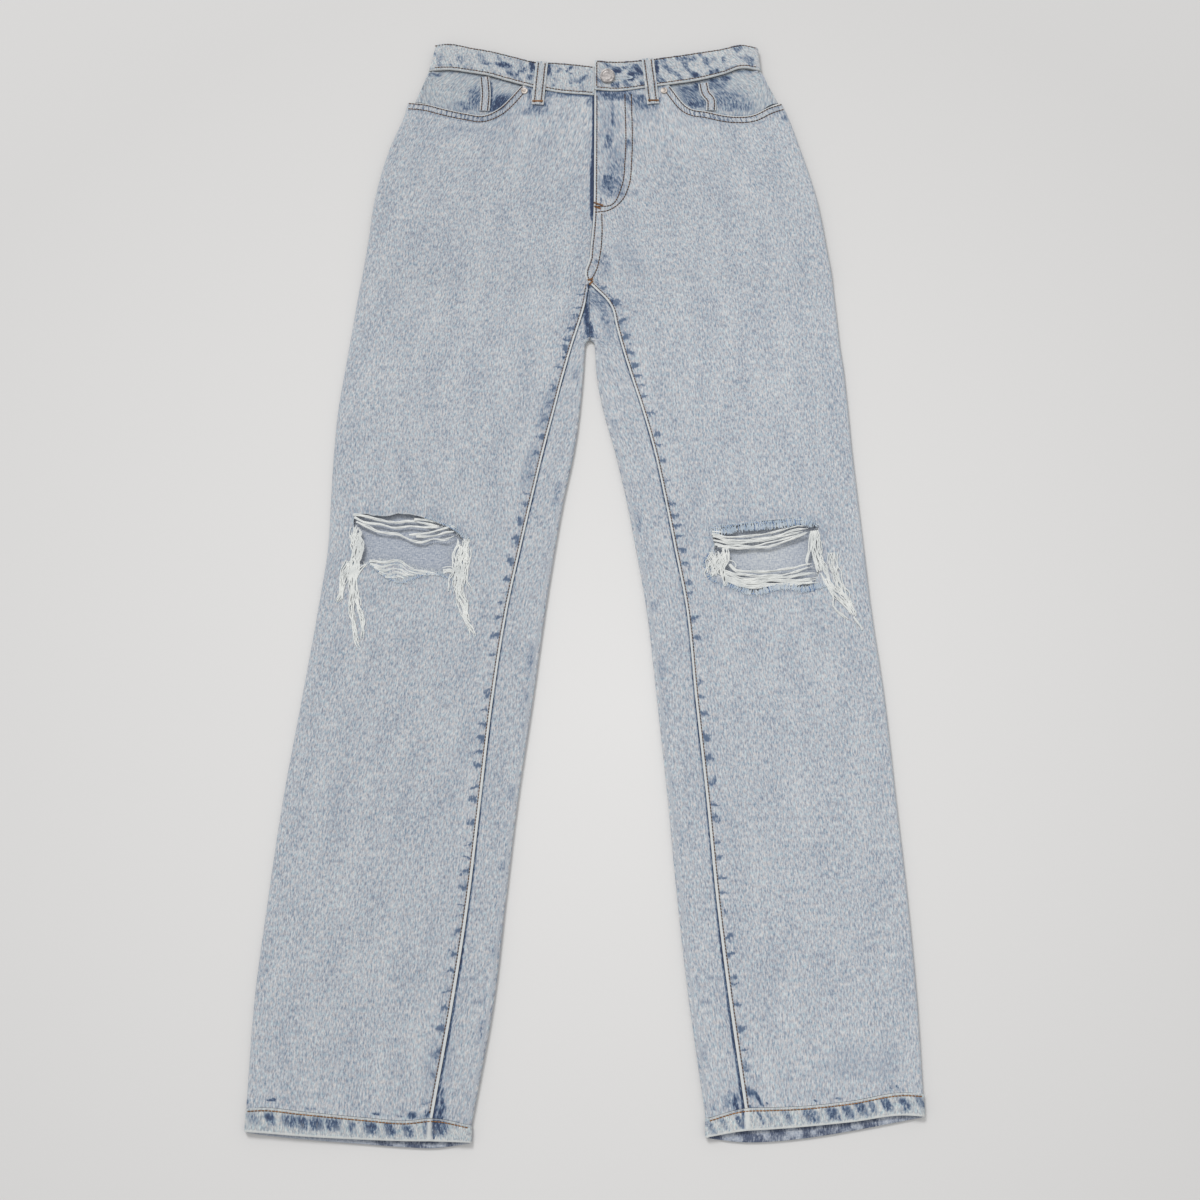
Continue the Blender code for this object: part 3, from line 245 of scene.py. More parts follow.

# Patches of unfaded indigo, and of painted shade beside and under the belt loops and in the
# crotch valley: x, y, half-width, half-height, lean of x against y, depth of colour
DYE_AND_SHADE_PATCHES = [
    # Fly, with painted shadow beside and under the front belt loops
    (26, 465, 1.2, 16, 0, 0.6), (22, 434.5, 4.5, 10, 0.2, 0.6), (21.5, 390, 7, 10, 0.2, 0.56),
    (24, 380.5, 4, 4.5, 0, 0.64), (18.5, 394, 2, 5.5, 0, 0.64), (30.5, 390, 2.5, 5.5, 0, 0.5),
    (14.5, 365, 0.9, 8, 0, 0.68), (24.5, 488.5, 12, 2.7, 0, 0.72), (43, 481.5, 3, 5.5, 0, 0.5),
    (42, 431.5, 2.5, 6.5, 0, 0.55), (30.5, 424.5, 2.5, 9, 0, 0.35), (46, 392.5, 2, 6.5, 0, 0.6),
    (50, 377.5, 1.5, 5.5, -0.3, 0.4), (54, 483.5, 6, 5.5, 0, 0.6), (75, 483, 2, 3.5, 0, 0.56),
    (2.6, 480, 3, 5.5, 0, 0.45), (-57.5, 489, 3, 7, 0, 0.68), (-46.5, 477, 7, 2.1, 0, 0.72),
    (-40.5, 484.5, 1.5, 4.5, 0, 0.6), (199, 463, 2.5, 7, -0.3, 0.5),
    # Crotch
    (18, 309, 1.5, 2.7, 0, 0.5), (15, 302, 1.5, 2.2, 0, 0.6), (10.5, 302, 2, 2.2, 0, 0.5),
    (11, 279.5, 1.2, 2.8, 0, 0.8), (16.5, 274, 1.2, 2.6, -0.5, 0.6),
    (22.5, 266.5, 1.6, 3, -0.5, 0.6), (25.5, 259.5, 1.6, 4.5, 0, 0.9),
    (34.5, 236.5, 1.9, 1.3, 0.5, 0.6), (39.5, 222, 1.2, 0.8, 0, 0.8),
    (42.5, 213, 2.4, 1.3, 0.5, 0.85), (-10.5, 233, 2, 3, 0.3, 0.6),
    (-11, 227.5, 1.5, 1.6, 0, 0.6), (-15, 230, 1.2, 1.3, 0, 0.8), (-14, 217.5, 1.5, 4, 0, 0.35),
    (-19.5, 207, 1.2, 1.6, 0, 0.8), (-22, 199, 1.9, 1.5, 0, 0.8),
    # Between the crotch and the junction: painted shade in the crotch valley and along its crease
    (0.8, 240.5, 0.7, 12.5, 0, 0.9), (4, 224.5, 4, 7.5, 0, 0.42), (1.4, 266.5, 1.6, 1.1, 0, 0.7),
    (7, 254.5, 6, 11, 0, 0.25), (2.9, 275.5, 1.8, 2.4, 0, 0.95),
    # Under the pocket mouths
    (-121, 476, 9, 7, 0, 0.45), (-153, 511.5, 8, 2.3, 0, 0.5), (-112, 489, 1.5, 16, 0, 0.45),
    (-87.5, 482, 7, 7, 0.5, 0.9), (-97, 489.5, 2.5, 16, 0, 0.8), (128.5, 506, 5, 2.9, 0, 0.7),
    (140.5, 508, 6, 2.9, 0, 0.8), (161, 516, 8, 2.3, 0, 0.5), (134, 485, 2.5, 15, 0, 0.45),
    (153.5, 485, 14, 9, 0, 0.33), (112, 499, 3.5, 4.5, 0, 0.85), (98.5, 495, 3, 4.5, 0, 0.55),
    (106.5, 478.5, 5, 2.9, 0, 0.9), (115.5, 483, 4, 4.5, 0, 0.5),
    # Waistband, with painted shadow beside the front belt loops
    (-147, 532, 3, 3.5, 0, 0.35), (-101.5, 523.5, 6, 2.5, -1.2, 0.52),
    (-84, 521.5, 8, 3.5, -1.2, 0.85), (-77.5, 511.5, 3, 4.5, -0.6, 0.6),
    (-69.5, 511.5, 2, 6, 0.5, 0.7), (-63, 515.5, 2.5, 4.5, 0.5, 0.6), (-55, 520, 3, 7, 0, 0.95),
    (-57.5, 507, 3.5, 3.5, 0, 0.65), (-75.5, 503.5, 3, 2.3, 0, 0.5),
    (-38, 515.5, 2.2, 7, 0, 0.95), (-28, 515.5, 2.5, 3.5, 0.5, 0.6), (-17, 517, 2.5, 4, 0.7, 0.7),
    (-15, 511, 2, 2.3, 0, 0.5), (-4, 505.5, 3.5, 4.5, 0.5, 0.6), (-16, 501.5, 3, 2.8, 0, 0.45),
    (1.4, 509.5, 1.5, 5.5, 0, 0.35), (-33.5, 498.5, 3, 2.3, 0, 0.4),
    (30.5, 515.5, 5, 4, -0.6, 0.95), (39, 518.5, 4, 2.3, 0, 0.6), (45, 508.5, 4, 6, 0, 0.95),
    (52.5, 515.5, 3.5, 7, -0.5, 0.95), (31, 498.5, 2.5, 4, 0, 0.7), (26.5, 499, 2, 3.5, 0, 0.6),
    (39, 501, 3, 4.5, 0, 0.5), (56, 499.5, 2, 4.5, 0, 0.7), (71, 518.5, 2.5, 9, 0, 1),
    (79, 518.5, 2, 3.5, -0.5, 0.6), (85, 514, 3, 3.5, -0.5, 0.5), (74, 507, 3, 4.5, 0, 0.45),
    (107, 528.5, 5, 3.5, 0.3, 0.5), (115, 532.5, 3, 2.3, 0, 0.49), (109.5, 510, 4, 2.9, 0, 1),
    (126, 512, 2.5, 4.5, 0, 0.7), (132, 514.5, 2.5, 4.5, 0, 0.66), (141.5, 516, 2, 3.5, 0, 0.49),
    (146.5, 517, 2, 3.5, 0, 0.39), (128.5, 528.5, 4, 3.5, 0, 0.35),
    # Inner corner of the left hem
    (-120, -531, 2.9, 4, 0, 0.47), (-110.5, -526.5, 2.2, 4, 0, 0.39),
    (-129, -526.5, 2.9, 7, 0.6, 0.78), (-125.5, -516.5, 3.5, 7.5, 0.1, 0.78),
    (-124, -504, 2.1, 10, 0, 0.62),
    # Over the left hem
    (-294, -507, 1.7, 2.6, 0, 0.6), (-272.5, -505.5, 4.5, 1.4, 0.5, 0.8),
    (-238.5, -513, 5, 1.2, -0.5, 0.65), (-180.5, -517, 5, 1.3, -0.5, 0.7),
    (-160, -519.5, 3.5, 1, 0, 0.6), (-149.5, -518.5, 4, 3.5, 0, 0.75),
    (-137, -517.5, 2.6, 3.5, 0, 0.7), (-120.5, -513, 1.3, 4.5, 0, 0.4),
    # Over the right hem
    (132, -509, 2.6, 7, 0, 0.9), (121.5, -513, 1.7, 3.5, 0, 0.4), (113, -512.5, 1.3, 2.6, 0, 0.5),
    (144.5, -498.5, 4.5, 5, -0.3, 0.6), (152, -504.5, 1.5, 7, -0.45, 0.95),
    (159, -508.5, 1.6, 1.4, 0, 0.8), (170.5, -508.5, 2.2, 1, 0, 0.4),
    (201.5, -506.5, 2.6, 1, 0, 0.75), (222, -504.5, 4, 1.1, 0.3, 0.6),
    (267.5, -495, 1.6, 1.7, 0, 0.7), (273.5, -494.5, 1.3, 1.7, 0, 0.7),
    (278, -497, 1.7, 1.7, 0, 0.4),
    # Soft, at fly, pockets and crotch; those at the crotch are painted shade
    (30, 405, 12, 26, 0.1, 0.34), (24, 455, 13, 20, 0, 0.26), (26, 384, 16, 14, -0.2, 0.4),
    (30, 487, 20, 6, 0, 0.6), (60, 478, 14, 9, 0, 0.5), (-50, 473, 14, 9, 0.4, 0.45),
    (-30, 488, 24, 4, 0, 0.4), (-112, 484, 9, 15, 0, 0.5), (-124, 476, 16, 8, 0, 0.34),
    (-88, 477, 9, 8, 0.6, 0.95), (-84, 484, 14, 8, 0.6, 0.5), (104, 488, 13, 10, -0.3, 0.5),
    (113, 478, 11, 5, 0, 0.6), (140, 484, 16, 12, 0, 0.46), (152, 476, 20, 7, 0, 0.46),
    (132, 500, 12, 6, 0, 0.5), (0.5, 246, 3, 13, 0, 0.9), (3, 231, 4.5, 9, 0, 0.75),
    (9, 262, 11, 10, 0, 0.42), (17, 250, 6, 22, -0.2, 0.4), (22, 232, 7, 20, -0.1, 0.26),
    (40, 306, 14, 22, -0.4, 0.2), (-100, 462, 34, 7, 0, 0.24), (-96, 440, 26, 10, 0, 0.14),
    (120, 458, 36, 6, 0, 0.2), (60, 466, 12, 12, 0, 0.25), (190, 470, 9, 10, -0.4, 0.3),
    # Faint and wide
    (-37, 144, 9, 28, 0.28, 0.3), (-54, 87, 8, 28, 0.28, 0.27), (20, 298, 6, 15, 0, 0.3),
    (4, 225, 4, 7, 0, 0.85), (-129, -528, 11, 9, 0, 0.7), (-128, -476, 16, 26, 0.1, 0.24),
    (129, -506, 9, 12, 0, 0.34), (246, -473, 44, 18, 0, 0.2), (-125, 447, 24, 9, 0, 0.24),
    (102, 495, 12, 5, 0, 0.6), (69, 489, 4, 8, 0, 0.8),
]

# Patches in the hems, all 12 high and leaning alike: x, y, half-width, depth of colour
HEM_PATCH_HALF, HEM_PATCH_LEAN = 6, {"left": -0.25, "right": -0.45}
HEM_PATCHES = {
    "left": [(-288, -521.5, 5.5, 0.39), (-273.5, -521.5, 4.5, 0.66), (-256.5, -523.5, 7, 0.62),
        (-245, -525, 4.5, 0.78), (-233, -526, 7, 0.7), (-218, -526.5, 7.5, 0.62),
        (-201.5, -528.5, 4.5, 0.47), (-185.5, -529.5, 7, 0.66), (-169, -530.5, 5.5, 0.66),
        (-153, -532, 5.5, 0.58)],
    "right": [(110, -528.5, 3.5, 0.43), (121.5, -526, 2.9, 0.43), (134.5, -524, 2.9, 0.58),
        (153.5, -521, 1.8, 0.65), (160.5, -521, 2.2, 0.36), (177, -520, 4, 0.5),
        (197, -519, 7, 0.61), (216.5, -517.5, 6, 0.65), (229.5, -515.5, 5, 0.61),
        (241, -513, 5.5, 0.65), (250.5, -511.5, 3.5, 0.5), (263.5, -509.5, 5, 0.65),
        (279, -509, 5, 0.58), (292.5, -507, 3.5, 0.5)],
}
DYE_AND_SHADE_PATCHES += [(x, y, half, HEM_PATCH_HALF, HEM_PATCH_LEAN[side], depth)
            for side, rows in HEM_PATCHES.items() for x, y, half, depth in rows]

# ---------------------------------------------------------------- curves


def smoothstep(value, low=0, high=1):
    """0 up to 1 between low and high."""
    t = np.clip((np.asarray(value, float) - low) / (high - low), 0, 1)
    return t * t * (3 - 2 * t)


def falls(value, low, high):
    """1 down to 0 between low and high."""
    return 1 - smoothstep(value, low, high)


def bell(value, middle, half):
    return np.exp(-(((np.asarray(value, float) - middle) / half) ** 2))


def level(z):
    """The same height everywhere, as a function of the place."""
    return lambda x, y: z + 0 * x


def spline(knots, values, at):
    """Smooth curve through a table's column; knots rise."""
    knots, values = np.asarray(knots, float), np.asarray(values, float)
    slopes = np.gradient(values, knots, axis=0)
    at = np.clip(np.asarray(at, float), knots[0], knots[-1])
    i = np.clip(np.searchsorted(knots, at, side="right") - 1, 0, len(knots) - 2)
    step = knots[i + 1] - knots[i]
    t = (at - knots[i]) / step
    return ((2 * t**3 - 3 * t**2 + 1) * values[i] + (t**3 - 2 * t**2 + t) * step * slopes[i]
            + (3 * t**2 - 2 * t**3) * values[i + 1] + (t**3 - t**2) * step * slopes[i + 1])


def run_of(path):
    """Length along a polyline at each of its points."""
    steps = np.linalg.norm(np.diff(np.asarray(path, float)[:, :2], axis=0), axis=1)
    return np.concatenate([[0], np.cumsum(steps)])


def resample(table, step):
    """Smooth path through a short table, at even steps."""
    table = np.asarray(table, float)
    run = run_of(table)
    at = np.linspace(0, run[-1], max(2, int(round(run[-1] / step)) + 1))
    return np.stack([spline(run, table[:, k], at) for k in range(table.shape[1])], axis=1)


def noise(x, y, cell, seed):
    """Smooth seeded noise between about -1 and 1."""
    size = 64
    lattice = np.random.default_rng(seed).uniform(-1, 1, (size, size))
    gx, gy = np.asarray(x, float) / cell + 1000, np.asarray(y, float) / cell + 1000
    ix, iy = np.floor(gx).astype(int), np.floor(gy).astype(int)
    fx, fy = smoothstep(gx - ix), smoothstep(gy - iy)
    at = lambda a, b: lattice[(ix + a) % size, (iy + b) % size]
    return ((at(0, 0) * (1 - fx) + at(1, 0) * fx) * (1 - fy)
            + (at(0, 1) * (1 - fx) + at(1, 1) * fx) * fy)


def counts(run, mean, spread, seed):
    """Running count of puckers along a seam, at uneven steps.

    Runs have to be positive: places are moved by some hundred millimetres first.
    """
    rng = np.random.default_rng(seed)
    stops = np.cumsum(mean * rng.uniform(1 - spread, 1 + spread, 400))
    return np.interp(run, stops, np.arange(len(stops))) + 0 * np.asarray(run)


def normals_of(points, sign):
    """Unit normals of a path in plan, to its right as it runs where sign is 1."""
    run = np.gradient(points, axis=0)
    turned = np.stack([run[:, 1], -run[:, 0]], axis=1) * sign
    return turned / np.linalg.norm(turned, axis=1, keepdims=True)


def across_row(start, end, shares):
    """Points between two ends, by shares of the way."""
    return start + (end - start) * np.asarray(shares)[:, None]


class Leg:
    """One leg's edges in fine rows from the pocket to the hem seam."""

    def __init__(self, name, table, sign):
        self.name, self.sign = name, sign
        column = {key: [row[i] for row in table] for i, key in enumerate(LEG_COLUMNS)}
        levels = [-y for y in column["side_y"]]
        rows = [levels[0]]
        for low, high in zip(levels, levels[1:]):
            step = [step for top, step in FINE_ROWS if -(low + high) / 2 <= top][-1]
            pieces = max(1, int(np.ceil((high - low) / step)))
            rows += [low + (high - low) * (k + 1) / pieces for k in range(pieces)]
        self.rows = np.array(rows)
        self.side = self.curve(levels, column, "side", self.rows)
        self.seam = self.curve(levels, column, "seam", self.rows)
        first = column["fold_x"].index(CENTRE_X)
        folded = {key: column[key][first:] for key in ("fold_x", "fold_y")}
        self.crotch_row = int(np.argmin(abs(self.rows - levels[first])))
        self.fold = self.curve(levels[first:], folded, "fold", self.rows[self.crotch_row:])
        self.side_normal = normals_of(self.side, -sign)
        self.fold_normal = normals_of(self.fold, sign)
        self.fold_normal[0] = (0, -1)
        self.yoke_row = int(np.argmin(abs(self.side[:, 1] - YOKE_SIDE_Y)))
        self.seam_run = run_of(self.seam)
        tangent = np.gradient(self.seam, axis=0)
        self.seam_cos = abs(tangent[:, 1]) / np.linalg.norm(tangent, axis=1)

    @staticmethod
    def curve(levels, column, name, at):
        return np.stack([spline(levels, column[name + "_x"], at),
                         spline(levels, column[name + "_y"], at)], axis=1)

    def from_seam(self, x, y):
        """Distance from fly and inseam, positive on the front, and run along them."""
        height = -self.seam[:, 1]
        away = self.sign * (x - np.interp(-y, height, self.seam[:, 0]))
        return away * np.interp(-y, height, self.seam_cos), np.interp(-y, height, self.seam_run)


LEGS = {"left": Leg("left", LEFT_LEG, -1), "right": Leg("right", RIGHT_LEG, 1)}


def centre_x(y):
    return CENTRE_X + LEAN_X * np.maximum(np.asarray(y, float) - CROTCH_Y, 0)


def table_curve(rows, columns, knot, column, x):
    """One column of a table over another, as a smooth curve."""
    at, to = columns.index(knot), columns.index(column)
    rows = sorted(rows, key=lambda row: row[at])
    return spline([row[at] for row in rows], [row[to] for row in rows], x)


def waist(x, column, side):
    """An edge of the waistband: of its left or right end, or "back" underneath."""
    rows = {"left": LEFT_WAIST, "right": RIGHT_WAIST,
            "back": LEFT_WAIST + RIGHT_WAIST[1:]}[side]
    return table_curve(rows, WAIST_COLUMNS, "x", column, x)


def front_waist(x, column):
    """The same on top, across both ends."""
    return np.where(np.asarray(x) < FLY_X, waist(x, column, "left"), waist(x, column, "right"))


def hem_y(x, column, side):
    """The hem's seam or one of its lower edges."""
    rows = LEFT_HEM if side == "left" else RIGHT_HEM
    return table_curve(rows, HEM_COLUMNS, "x", column, x)


def pocket_y(x, side):
    """Scooped mouth of a front pocket."""
    return table_curve(POCKET, POCKET_COLUMNS, side + "_x", side + "_y", x)


def ridge_width(y):
    """Width of the felled ridge between the inseam and its stitches."""
    return 2.4 + 0.8 * smoothstep(-np.asarray(y, float), -60, 520)


# ---------------------------------------------------------------- heights


def edge_distance(x, y):
    """Distance in plan from the nearest fold of the flattened garment."""
    x, y = np.asarray(x, float), np.asarray(y, float)
    near = np.full(np.broadcast(x, y).shape, 1e9)
    for leg in LEGS.values():
        side_x = np.interp(-y, -leg.side[:, 1], leg.side[:, 0])
        near = np.minimum(near, leg.sign * (side_x - x))
        fold_x = np.interp(-y, -leg.fold[:, 1], leg.fold[:, 0])
        own = leg.sign * (x - fold_x)
        near = np.where((y < CROTCH_Y) & (own > -10), np.minimum(near, own), near)
    above = np.hypot(x - CENTRE_X, y - CROTCH_Y)
    return np.where(y >= CROTCH_Y, np.minimum(near, above), near)


def folds(table, x, y):
    """Sum of soft troughs and ridges between pairs of points."""
    total = np.zeros(np.broadcast(x, y).shape)
    for ax, ay, bx, by, half, rise in table:
        run = np.array([bx - ax, by - ay])
        length = np.hypot(*run)
        along = ((x - ax) * run[0] + (y - ay) * run[1]) / length
        across = (-(x - ax) * run[1] + (y - ay) * run[0]) / length
        past = np.maximum(np.maximum(-along, along - length), 0)
        total = total + rise * np.exp(-(across**2 + past**2) / (half * half * 0.5))
    return total


def lift(y):
    """How far the thicker waistband raises the hips."""
    return HIP_LIFT * smoothstep(y, LIFT_FROM, LIFT_TO)


def gap(x, y):
    """Air between front and back."""
    full = smoothstep(edge_distance(x, y), 0, FLAT_RUN)
    full = full * falls(y, WAIST_FROM, WAIST_TO)
    return EDGE_GAP + full * (MIDDLE_GAP - EDGE_GAP + folds(CREASES, x, y))


def back_z(x, y):
    """Middle surface of the backs."""
    return lift(y) + CLOTH / 2 + 0 * x


def front_z(x, y):
    """Middle surface of the fronts, without their fine relief."""
    return lift(y) + 1.5 * CLOTH + gap(x, y)


def relief(x, y):
    """Fine unevenness of the cloth on top, none at the folds and under the band."""
    amount = smoothstep(edge_distance(x, y), 0, 16) * falls(y, 440, 484)
    soft = 0.30 * noise(x, y, 41, 11) + 0.16 * noise(x, y, 17, 12)
    return amount * (soft + folds(FINE_CREASES, x, y))


def seam_relief(leg, x, y):
    """The ridge along the front's inner edge, its stitched dip, and puckers beside it."""
    away, run = leg.from_seam(x, y)
    wide = ridge_width(y)
    wave = np.sin(2 * np.pi * counts(run, 13, 0.45, 21 if leg.sign < 0 else 22))
    under = (leg.sign < 0) & (y > JUNCTION_Y)
    ridge = 0.6 * falls(away, wide - 1.2, wide + 0.2) - 0.3 * bell(away, wide + 0.4, 0.9)
    ridge = ridge + 0.22 * wave * bell(away, 7, 4.5)
    tucked = -0.5 * falls(away, 0, 4)
    strip = -0.55 * falls(-away, 0, 3) + 0.1 * wave * bell(-away, 6, 4)
    on_front = np.where(under, tucked, ridge)
    hem = smoothstep(y, -522, -500)
    return np.where(away >= -0.1, on_front, strip) * (0.35 + 0.65 * hem)


def top_z(leg, x, y):
    """Middle surface of whatever lies on top of a leg."""
    on_strip = smoothstep(-leg.from_seam(x, y)[0], -0.1, 1)
    valley = -1.5 * bell(x, 3.5, 6) * smoothstep(y, 219, 228)
    valley = valley * falls(y, 250, 276) * on_strip
    return front_z(x, y) + relief(x, y) + seam_relief(leg, x, y) + valley


# ---------------------------------------------------------------- meshes

PIECES, AREAS = {}, {}


class Sheet:
    """Open middle surface made of grids that share their border points."""

    def __init__(self):
        self.points, self.values, self.faces, self.known = [], [], [], {}

    def index(self, key, place, value):
        if key not in self.known:
            self.known[key] = len(self.points)
            self.points.append(place)
            self.values.append(value)
        return self.known[key]

    def grid(self, places, values, closed=False):
        """Add rows of points; a closed grid's last column meets its first."""
        places, values = np.asarray(places), np.asarray(values)
        rows, columns = places.shape[:2]
        flat = places.reshape(-1, 3)
        keys = map(tuple, np.round(flat, 3).tolist())
        each = zip(keys, flat, values.reshape(-1, 8))
        index = np.array([self.index(*item) for item in each]).reshape(rows, columns)
        right = np.roll(index, -1, axis=1)
        last = columns if closed else columns - 1
        quads = np.stack([index[:-1, :last], index[1:, :last], right[1:, :last],
                          right[:-1, :last]], axis=-1).reshape(-1, 4)
        self.faces.append(quads)
        return self

    def arrays(self):
        return np.array(self.points), np.array(self.values), np.vstack(self.faces)

    def turned(self):
        """Each face's area, as a vector along its normal."""
        points, _, quads = self.arrays()
        return np.cross(points[quads[:, 2]] - points[quads[:, 0]],
                        points[quads[:, 3]] - points[quads[:, 1]]) / 2

    def area(self):
        return float(np.linalg.norm(self.turned(), axis=1).sum()) * MM * MM

    def faces_up(self):
        return bool(self.turned()[:, 2].sum() > 0)


def thicken(sheet, wall, up):
    """Closed wall about a surface; its second half is the cloth's inner face."""
    points, values, quads = sheet if isinstance(sheet, tuple) else sheet.arrays()
    cross = np.cross(points[quads[:, 2]] - points[quads[:, 0]],
                     points[quads[:, 3]] - points[quads[:, 1]])
    normal = np.zeros_like(points)
    for corner in range(4):
        np.add.at(normal, quads[:, corner], cross)
    on_centre = abs(points[:, 0] - centre_x(points[:, 1])) < 2.5 * SEAM_GAP
    normal[on_centre, 0] = 0
    normal /= np.maximum(np.linalg.norm(normal, axis=1, keepdims=True), 1e-9)
    sign = 1 if up else -1
    half = np.broadcast_to(np.asarray(wall, float) / 2, (len(points),))[:, None] * sign
    count = len(points)
    shell = np.vstack([points + normal * half, points - normal * half])
    inner = values.copy()
    inner[:, 7] = 1
    outer_quads = quads if up else quads[:, ::-1]
    faces = np.vstack([outer_quads, outer_quads[:, ::-1] + count])
    pairs = np.stack([outer_quads, np.roll(outer_quads, -1, axis=1)], axis=-1).reshape(-1, 2)
    pairs = pairs[pairs[:, 0] != pairs[:, 1]]
    known = {(a, b) for a, b in pairs.tolist()}
    rim = [(b, a, a + count, b + count) for a, b in known if (b, a) not in known]
    return shell, np.vstack([values, inner]), faces.tolist() + sorted(rim)


def placed(name, data, location=(0, 0, 0)):
    """An object in the scene."""
    made = bpy.data.objects.new(name, data)
    made.location = location
    bpy.context.scene.collection.objects.link(made)
    return made


def add_mesh(name, points, faces, made_material, values=None, nodes=()):
    """A piece of the garment, riding on the root: points in the tables' millimetres."""
    mesh = bpy.data.meshes.new(name)
    faces = [[v for k, v in enumerate(face) if v != face[k - 1]] for face in faces]
    faces = [face for face in faces if len(face) > 2]
    mesh.from_pydata(((np.asarray(points) + MIDDLE) * MM).tolist(), [], faces)
    if values is not None:
        corner = np.empty(len(mesh.loops), np.int32)
        mesh.loops.foreach_get("vertex_index", corner)
        for label, columns in (("grain", slice(0, 2)), ("seam", slice(2, 4))):
            layer = mesh.uv_layers.new(name=label)
            layer.data.foreach_set("uv", values[corner, columns].astype(np.float32).ravel())
        wash = mesh.color_attributes.new("wash", "FLOAT_COLOR", "POINT")
        wash.data.foreach_set("color", values[:, 4:8].astype(np.float32).ravel())
    mesh.shade_smooth()
    mesh.set_sharp_from_angle(angle=np.radians(40))
    mesh.materials.append(made_material)
    piece = placed(name, mesh)
    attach(piece, "root")
    if nodes:
        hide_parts(*nodes)
    PIECES[name] = piece
    return piece


def sew(name, surface, wall, made_material, node, up=True, turn=None, paint_inner_face=None, torn=None):
    """Thicken a surface into its named piece, its outer face up or down.

    turn says outright whether the outer face is the surface's own, torn replaces the
    surface by the same with a hole, and the last puts painted light and shade on the wall's inner
    face.
    """
    turn = surface.faces_up() == up if turn is None else turn
    points, values, faces = thicken(torn or surface, wall, turn)
    if paint_inner_face:
        half = len(values) // 2
        paint_inner_face(values[half:], *points[half:, :2].T)
    add_mesh(name, points, faces, made_material, values, nodes=[node])
    AREAS[name] = surface.area()


def pack(grain_u, grain_v, away, count, rope=0, worn=0, indigo_and_shade=0):
    """One row of values for each point, in the order add_mesh reads."""
    parts = np.broadcast_arrays(grain_u, grain_v, away, count, rope, worn, indigo_and_shade, 0)
    return np.stack([np.asarray(part, float) for part in parts], axis=-1)


def dye_and_shade_at(x, y):
    """Deepest of the listed marks of unfaded indigo and painted shade over each point."""
    total = np.zeros(np.broadcast(x, y).shape)
    for px, py, half_x, half_y, lean, depth in DYE_AND_SHADE_PATCHES:
        off = (x - px - lean * (y - py)) / half_x
        total = np.maximum(total, depth * np.exp(-(off**4) - ((y - py) / half_y) ** 4))
    return total


def fold_centre(edge, normal):
    """Middle of the round fold whose outer face touches an edge."""
    return edge - normal * (CLOTH / 2 + FOLD_RADIUS)


def arc_points(centre, normal, low_z, high_z, steps=7):
    """Points round each row's fold from the lower to the upper layer: (rows, steps+1, 3)."""
    angles = np.linspace(-np.pi / 2, np.pi / 2, steps + 1)
    out = FOLD_RADIUS * np.cos(angles)
    x = centre[:, 0, None] + normal[:, 0, None] * out
    y = centre[:, 1, None] + normal[:, 1, None] * out
    low_z, high_z = np.atleast_1d(low_z), np.atleast_1d(high_z)
    middle, half = (low_z + high_z) / 2, (high_z - low_z) / 2
    z = middle[:, None] + half[:, None] * np.sin(angles)
    return np.stack([x, y, z], axis=-1)


# ---------------------------------------------------------------- materials


def rgb(red, green, blue):
    """Linear colour of a display colour out of 255."""
    c = np.array([red, green, blue]) / 255
    c = np.where(c <= 0.04045, c / 12.92, ((c + 0.055) / 1.055) ** 2.4)
    return (*map(float, c), 1)


class Graph:
    """A material's nodes, put together by short calls."""

    def __init__(self, name, roughness, metallic=0, specular=0.3):
        self.material = bpy.data.materials.new(name)
        self.material.use_nodes = True
        self.tree = self.material.node_tree
        self.shader = self.tree.nodes["Principled BSDF"]
        self.shader.inputs["Roughness"].default_value = roughness
        self.shader.inputs["Metallic"].default_value = metallic
        self.shader.inputs["Specular IOR Level"].default_value = specular

    def node(self, kind, inputs=(), **settings):
        made = self.tree.nodes.new("ShaderNode" + kind)
        for key, value in settings.items():
            setattr(made, key, value)
        for key, value in dict(inputs).items():
            self.put(made.inputs[key], value)
        return made

    def put(self, socket, value):
        if isinstance(value, bpy.types.NodeSocket):
            self.tree.links.new(value, socket)
        else:
            socket.default_value = value

    def place(self):
        """The object's own coordinates."""
        return self.node("TexCoord").outputs["Object"]

    def math(self, operation, a, b=0):
        return self.node("Math", {0: a, 1: b}, operation=operation).outputs[0]

    def add(self, *parts):
        """Sum of sockets, each with its weight."""
        total = None
        for socket, weight in parts:
            part = self.math("MULTIPLY", socket, weight)
            total = part if total is None else self.math("ADD", total, part)
        return total

    def step(self, value, low, high, to_low=0, to_high=1):
        inputs = {"Value": value, "From Min": low, "From Max": high, "To Min": to_low,
                  "To Max": to_high}
        return self.node("MapRange", inputs, interpolation_type="SMOOTHSTEP").outputs[0]

    def mix(self, factor, a, b, how="MIX"):
        return self.node("Mix", {0: factor, 6: a, 7: b}, data_type="RGBA",
                         blend_type=how).outputs[2]

    def noise(self, vector, x, y, detail=2, roughness=0.5, z=1):
        """Noise whose cells measure x by y in the vector's own unit."""
        scaled = self.node("Mapping", {"Vector": vector, "Scale": (1 / x, 1 / y, 1 / z)})
        inputs = {"Vector": scaled.outputs[0], "Scale": 1, "Detail": detail,
                  "Roughness": roughness}
        return self.node("TexNoise", inputs).outputs[0]

    def ramp(self, value, stops):
        made = self.node("ValToRGB", {0: value})
        elements = made.color_ramp.elements
        while len(elements) < len(stops):
            elements.new(0.5)
        for element, (place, colour) in zip(elements, stops):
            element.position, element.color = place, colour
        return made.outputs[0]

    def finish(self, colour, height=None, distance=0.0002, strength=0.6):
        self.put(self.shader.inputs["Base Color"], colour)
        if height is not None:
            bump = self.node("Bump", {"Height": height, "Strength": strength,
                                      "Distance": distance})
            self.put(self.shader.inputs["Normal"], bump.outputs[0])
        return self.material


